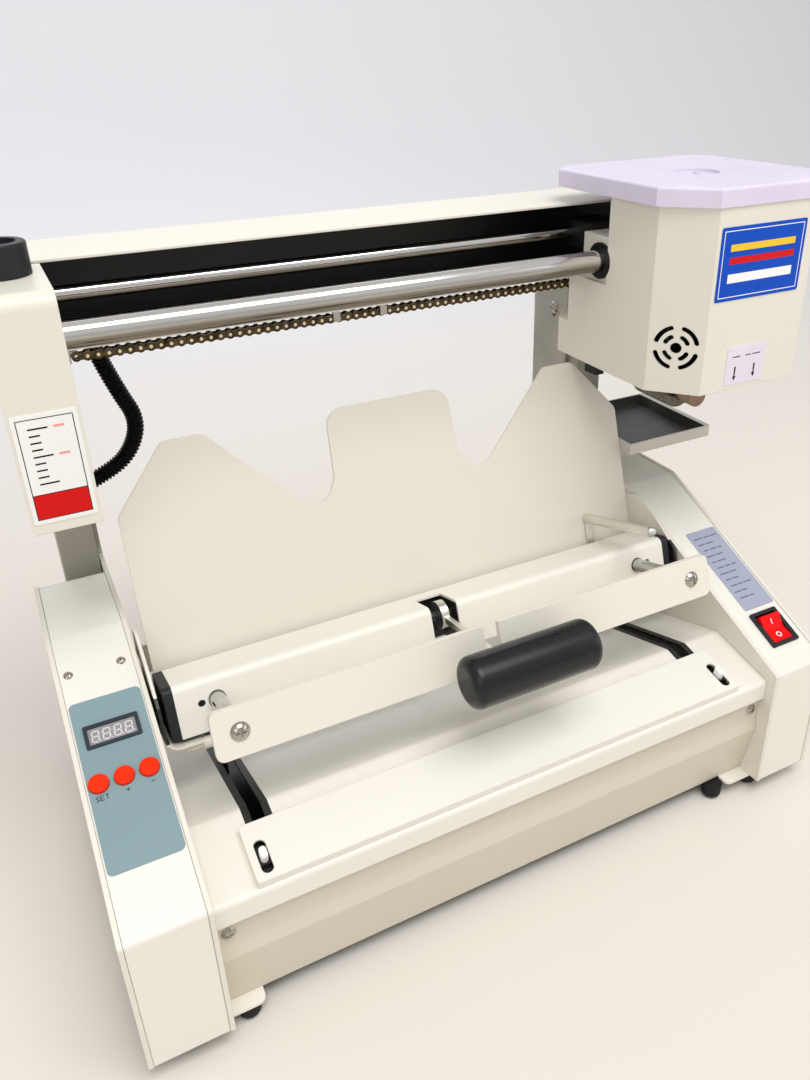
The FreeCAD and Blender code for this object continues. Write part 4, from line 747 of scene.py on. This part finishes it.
# ---- label on the head ----
headLabel = {
    "frame": (-243.8, -215.3, 286.2, 344.5),
    "redBand": (-243.6, -215.5, 286.4, 300.9),
    "stroke": 0.45,
    "ticks": 9,                            # a plain scale
    "firstTick": 307.0,
    "tickGap": 4.0,
    "tickStart": 5.0,
    "tickReach": (5.5, 10.0),              # short and long
    "tickStroke": 0.9,
    "pinkLevels": (323.0, 339.0),
    "pinkLine": (10.5, 5.0, 1.3),          # start and end from the right edge, width
}


def headPrints():
    look = headLabel
    face = frontFace("head_plate")
    u0, u1, v0, v1 = look["frame"]
    Ink(face).box(*look["redBand"]).done("head_red_band", "bridge", "red", redInk)
    dark = Ink(face, -0.05, 0.09)
    dark.line(frameOutline(u0, u1, v0, v1), look["stroke"], True)
    dark.line([(u0, look["redBand"][3]), (u1, look["redBand"][3])], look["stroke"])
    left = u0 + look["tickStart"]
    for step in range(look["ticks"]):
        v = look["firstTick"] + step * look["tickGap"]
        reach = look["tickReach"][step % 4 == 0]
        dark.line([(left, v), (left + reach, v)], look["tickStroke"])
    dark.done("head_dark_print", "bridge", "black", darkInk)
    pink = Ink(face)
    start, end, width = look["pinkLine"]
    for v in look["pinkLevels"]:
        pink.line([(u1 - start, v), (u1 - end, v)], width)
    pink.done("head_pink_lines", "bridge", "red", pinkInk)


headPrints()
print("head label done")

# ---- blue plate and small label on the glue box ----
boxPrints = {
    "plate": (188.0, 264.0, 360.0, 409.0),
    "keylineInset": 2.6,
    "keyline": 0.55,
    "stripeInset": 9.0,
    "whiteStripe": (12.0, 18.0),
    "stripeHeight": 4.5,
    "stripes": [("plate_yellow_print", "blue", 33.0, yellowInk),
                ("plate_red_print", "red", 24.5, redInk)],
    "small": (206.5, 242.5, 298.0, 326.0),
    "arrows": (8.5, 26.5),                 # from the left edge of the small label
    "arrowLevels": (3.0, 6.2, 13.2),       # tip, head and tail
    "arrowHalf": (1.7, 0.55, 0.77),         # half widths of the head, neck and tail
    "dashes": [(5.0, 12.0), (17.0, 22.0), (23.5, 31.0)],
    "dashLevel": 20.5,
    "dashStroke": 0.7,
}


def plateDesign():
    look = boxPrints
    face = frontFace("box_labels")
    u0, u1, v0, v1 = look["plate"]
    inset = look["keylineInset"]
    white = Ink(face)
    white.line(frameOutline(u0 + inset, u1 - inset, v0 + inset, v1 - inset), look["keyline"], True)
    inset = look["stripeInset"]
    bottom, top = look["whiteStripe"]
    white.box(u0 + inset, u1 - inset, v0 + bottom, v0 + top)
    white.done("plate_white_print", "carriage", "white", whiteInk)
    for name, slot, level, ink in look["stripes"]:
        stripe = Ink(face).box(u0 + inset, u1 - inset, v0 + level, v0 + level + look["stripeHeight"])
        stripe.done(name, "carriage", slot, ink)


def smallLabel():
    look = boxPrints
    u0, u1, v0, v1 = look["small"]
    face = frontFace("box_labels")
    ink = Ink(face)
    tip, head, tail = (v0 + level for level in look["arrowLevels"])
    wide, neck, narrow = look["arrowHalf"]
    for left in look["arrows"]:
        u = u0 + left
        ink.area([(u, tip), (u + wide, head), (u + neck, head), (u + narrow, tail),
                  (u - narrow, tail), (u - neck, head), (u - wide, head)])
    v = v0 + look["dashLevel"]
    for start, end in look["dashes"]:
        ink.line([(u0 + start, v), (u0 + end, v)], look["dashStroke"])
    ink.done("small_label_print", "carriage", "black", darkInk)


plateDesign()
smallLabel()
print("glue box prints done")

# ---- ribbed conduit, held at both ends ----
conduitLook = {
    "y": 299.0,
    "route": [(-190.0, 374.0), (-186.5, 342.0), (-173.0, 298.0), (-162.5, 273.0),
              (-171.5, 249.5), (-190.0, 236.0), (-218.0, 226.5)],
    "ribRadius": 6.15,
    "valleyRadius": 5.0,
    "pitch": 2.7,
    "sides": 24,
    "profile": [0.0, 0.75, 1.0, 1.0, 0.75, 0.0],   # from one valley to the next
}


def conduitLine():
    look = conduitLook
    curve = bpy.data.curves.new("conduit_line", "CURVE")
    curve.dimensions = "3D"
    spline = curve.splines.new("NURBS")
    spline.points.add(len(look["route"]) - 1)
    for point, (x, z) in zip(spline.points, look["route"]):
        point.co = (*place(x, look["y"], z), 1.0)
    spline.order_u = 3
    spline.use_endpoint_u = True
    curve.resolution_u = 32
    holder = bpy.data.objects.new("conduit_line", curve)
    mesh = bpy.data.meshes.new_from_object(holder)
    points = [vertex.co.copy() for vertex in mesh.vertices]
    bpy.data.objects.remove(holder)
    bpy.data.meshes.remove(mesh)
    return points


def alongLine(points, steps):
    # (point, direction) at even steps of length
    lengths = [0.0]
    for before, after in zip(points, points[1:]):
        lengths.append(lengths[-1] + (after - before).length)
    found = []
    index = 0
    for step in steps:
        distance = min(step, lengths[-1] - 1e-9)
        while lengths[index + 1] < distance:
            index += 1
        share = (distance - lengths[index]) / (lengths[index + 1] - lengths[index])
        run = points[index + 1] - points[index]
        found.append((points[index] + run * share, run.normalized()))
    return found, lengths[-1]


def ribbedConduit():
    look = conduitLook
    points = conduitLine()
    length = alongLine(points, [0.0])[1]
    profile = look["profile"]
    ribs = round(length / (look["pitch"] * millimetre))
    count = ribs * len(profile)
    stations, length = alongLine(points, [length * i / count for i in range(count + 1)])
    bm = bmesh.new()
    rings = []
    for i, (centre, direction) in enumerate(stations):
        swell = profile[i % len(profile)]
        radius = (look["valleyRadius"] + (look["ribRadius"] - look["valleyRadius"]) * swell) * millimetre
        side = Vector((0, 1, 0))
        over = direction.cross(side)
        ring = []
        for k in range(look["sides"]):
            angle = 2 * math.pi * k / look["sides"]
            ring.append(bm.verts.new(centre + (side * math.cos(angle) + over * math.sin(angle)) * radius))
        rings.append(ring)
    for near, far in zip(rings, rings[1:]):
        for k in range(look["sides"]):
            j = (k + 1) % look["sides"]
            bm.faces.new((near[k], near[j], far[j], far[k]))
    bm.faces.new(rings[0][::-1])
    bm.faces.new(rings[-1])
    bmesh.ops.recalc_face_normals(bm, faces=bm.faces[:])
    piece = meshPiece("ribbed_conduit", bm, "bridge", conduitPlastic, True)
    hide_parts("conduit")


ribbedConduit()
print("conduit done")

# ---- floor, lights and camera ----
stageLook = {
    "floor": shade(0.78, 0.74, 0.68),
    "wall": shade(0.88, 0.885, 0.93),
    "halfWidth": 9.0,
    "front": -3.0,
    "wallY": 2.2,
    "bend": 0.9,
    "wallTop": 3.5,
    "bendSteps": 16,
    "air": shade(1.0, 0.985, 0.96),        # light from all round
    "airStrength": 0.59,
}


def studioFloor():
    look = stageLook
    recipe = Recipe("studio_floor", IOR=1.45)
    tone = recipe.noise(1.3, 3.0).band(0.2, 0.8)
    body = recipe.mix(recipe.axis("Y").band(0.5, 1.6), look["floor"], look["wall"])
    body = recipe.mix(tone * 0.04, body, tinted(look["floor"], 0.5))
    material = recipe.feed(Base_Color=body, Roughness=tone * 0.1 + 0.6)
    bm = bmesh.new()
    outline = [(look["front"], 0.0)]
    for step in range(look["bendSteps"] + 1):
        angle = math.pi / 2 * step / look["bendSteps"]
        outline.append((look["wallY"] - look["bend"] + look["bend"] * math.sin(angle),
                        look["bend"] - look["bend"] * math.cos(angle)))
    outline.append((look["wallY"], look["wallTop"]))
    rows = [[bm.verts.new((x, y, z)) for x in (-look["halfWidth"], look["halfWidth"])] for y, z in outline]
    for near, far in zip(rows, rows[1:]):
        bm.faces.new((near[0], near[1], far[1], far[0]))
    mesh = bpy.data.meshes.new("studio_floor")
    bm.to_mesh(mesh)
    bm.free()
    mesh.materials.append(material)
    mesh.shade_smooth()
    floor = bpy.data.objects.new("studio_floor", mesh)
    bpy.context.scene.collection.objects.link(floor)


lamps = {
    "top": {"at": (0.10, -1.00, 2.50), "aim": (0.0, 0.0, 0.15), "size": (1.9, 1.2), "power": 38.5},
    "key": {"at": (-1.4, -1.3, 1.2), "aim": (0.0, 0.0, 0.2), "size": (0.9, 0.9), "power": 4.0},
    "fill": {"at": (1.6, -1.0, 0.9), "aim": (0.0, 0.0, 0.2), "size": (1.2, 1.0), "power": 4.2},
    "rim": {"at": (0.3, 1.5, 1.2), "aim": (0.0, 0.0, 0.3), "size": (1.4, 0.6), "power": 3.0},
}


def studioLights():
    for name, look in lamps.items():
        lamp = bpy.data.lights.new(name + "_light", "AREA")
        lamp.shape = "RECTANGLE"
        lamp.size, lamp.size_y = look["size"]
        lamp.energy = look["power"]
        holder = bpy.data.objects.new(name + "_light", lamp)
        holder.location = look["at"]
        holder.rotation_euler = (Vector(look["aim"]) - Vector(look["at"])).to_track_quat("-Z", "Y").to_euler()
        bpy.context.scene.collection.objects.link(holder)
    world = bpy.data.worlds.new("studio_air")
    world.use_nodes = True
    background = world.node_tree.nodes["Background"]
    background.inputs["Color"].default_value = stageLook["air"]
    background.inputs["Strength"].default_value = stageLook["airStrength"]
    bpy.context.scene.world = world
    bpy.context.scene.view_settings.view_transform = "Standard"


cameraLook = {
    "eye": (-243.7, -352.9, 519.3),        # machine millimetres
    "right": (0.88481, -0.46574, -0.01386),
    "down": (-0.22118, -0.39365, -0.89226),
    "frameSize": (810, 1080),
    "focalPixels": 895.34,
    "axisPixel": (447.3, 493.7),           # where the optical axis meets the picture
    "sensor": 36.0,
}


def studioCamera():
    look = cameraLook
    wide, high = look["frameSize"]
    data = bpy.data.cameras.new("studio_camera")
    data.sensor_width = look["sensor"]
    data.lens = look["focalPixels"] * look["sensor"] / max(wide, high)
    data.shift_x = (wide / 2 - look["axisPixel"][0]) / max(wide, high)
    data.shift_y = (look["axisPixel"][1] - high / 2) / max(wide, high)
    data.clip_start = 0.02
    data.clip_end = 30.0
    holder = bpy.data.objects.new("studio_camera", data)
    right = Vector(look["right"]).normalized()
    up = -Vector(look["down"]).normalized()
    back = right.cross(up).normalized()
    up = back.cross(right)
    turn = Matrix((right, up, back)).transposed().to_4x4()
    holder.matrix_world = Matrix.Translation(place(*look["eye"])) @ turn
    bpy.context.scene.collection.objects.link(holder)
    bpy.context.scene.camera = holder


studioFloor()
studioLights()
studioCamera()
print("stage done")
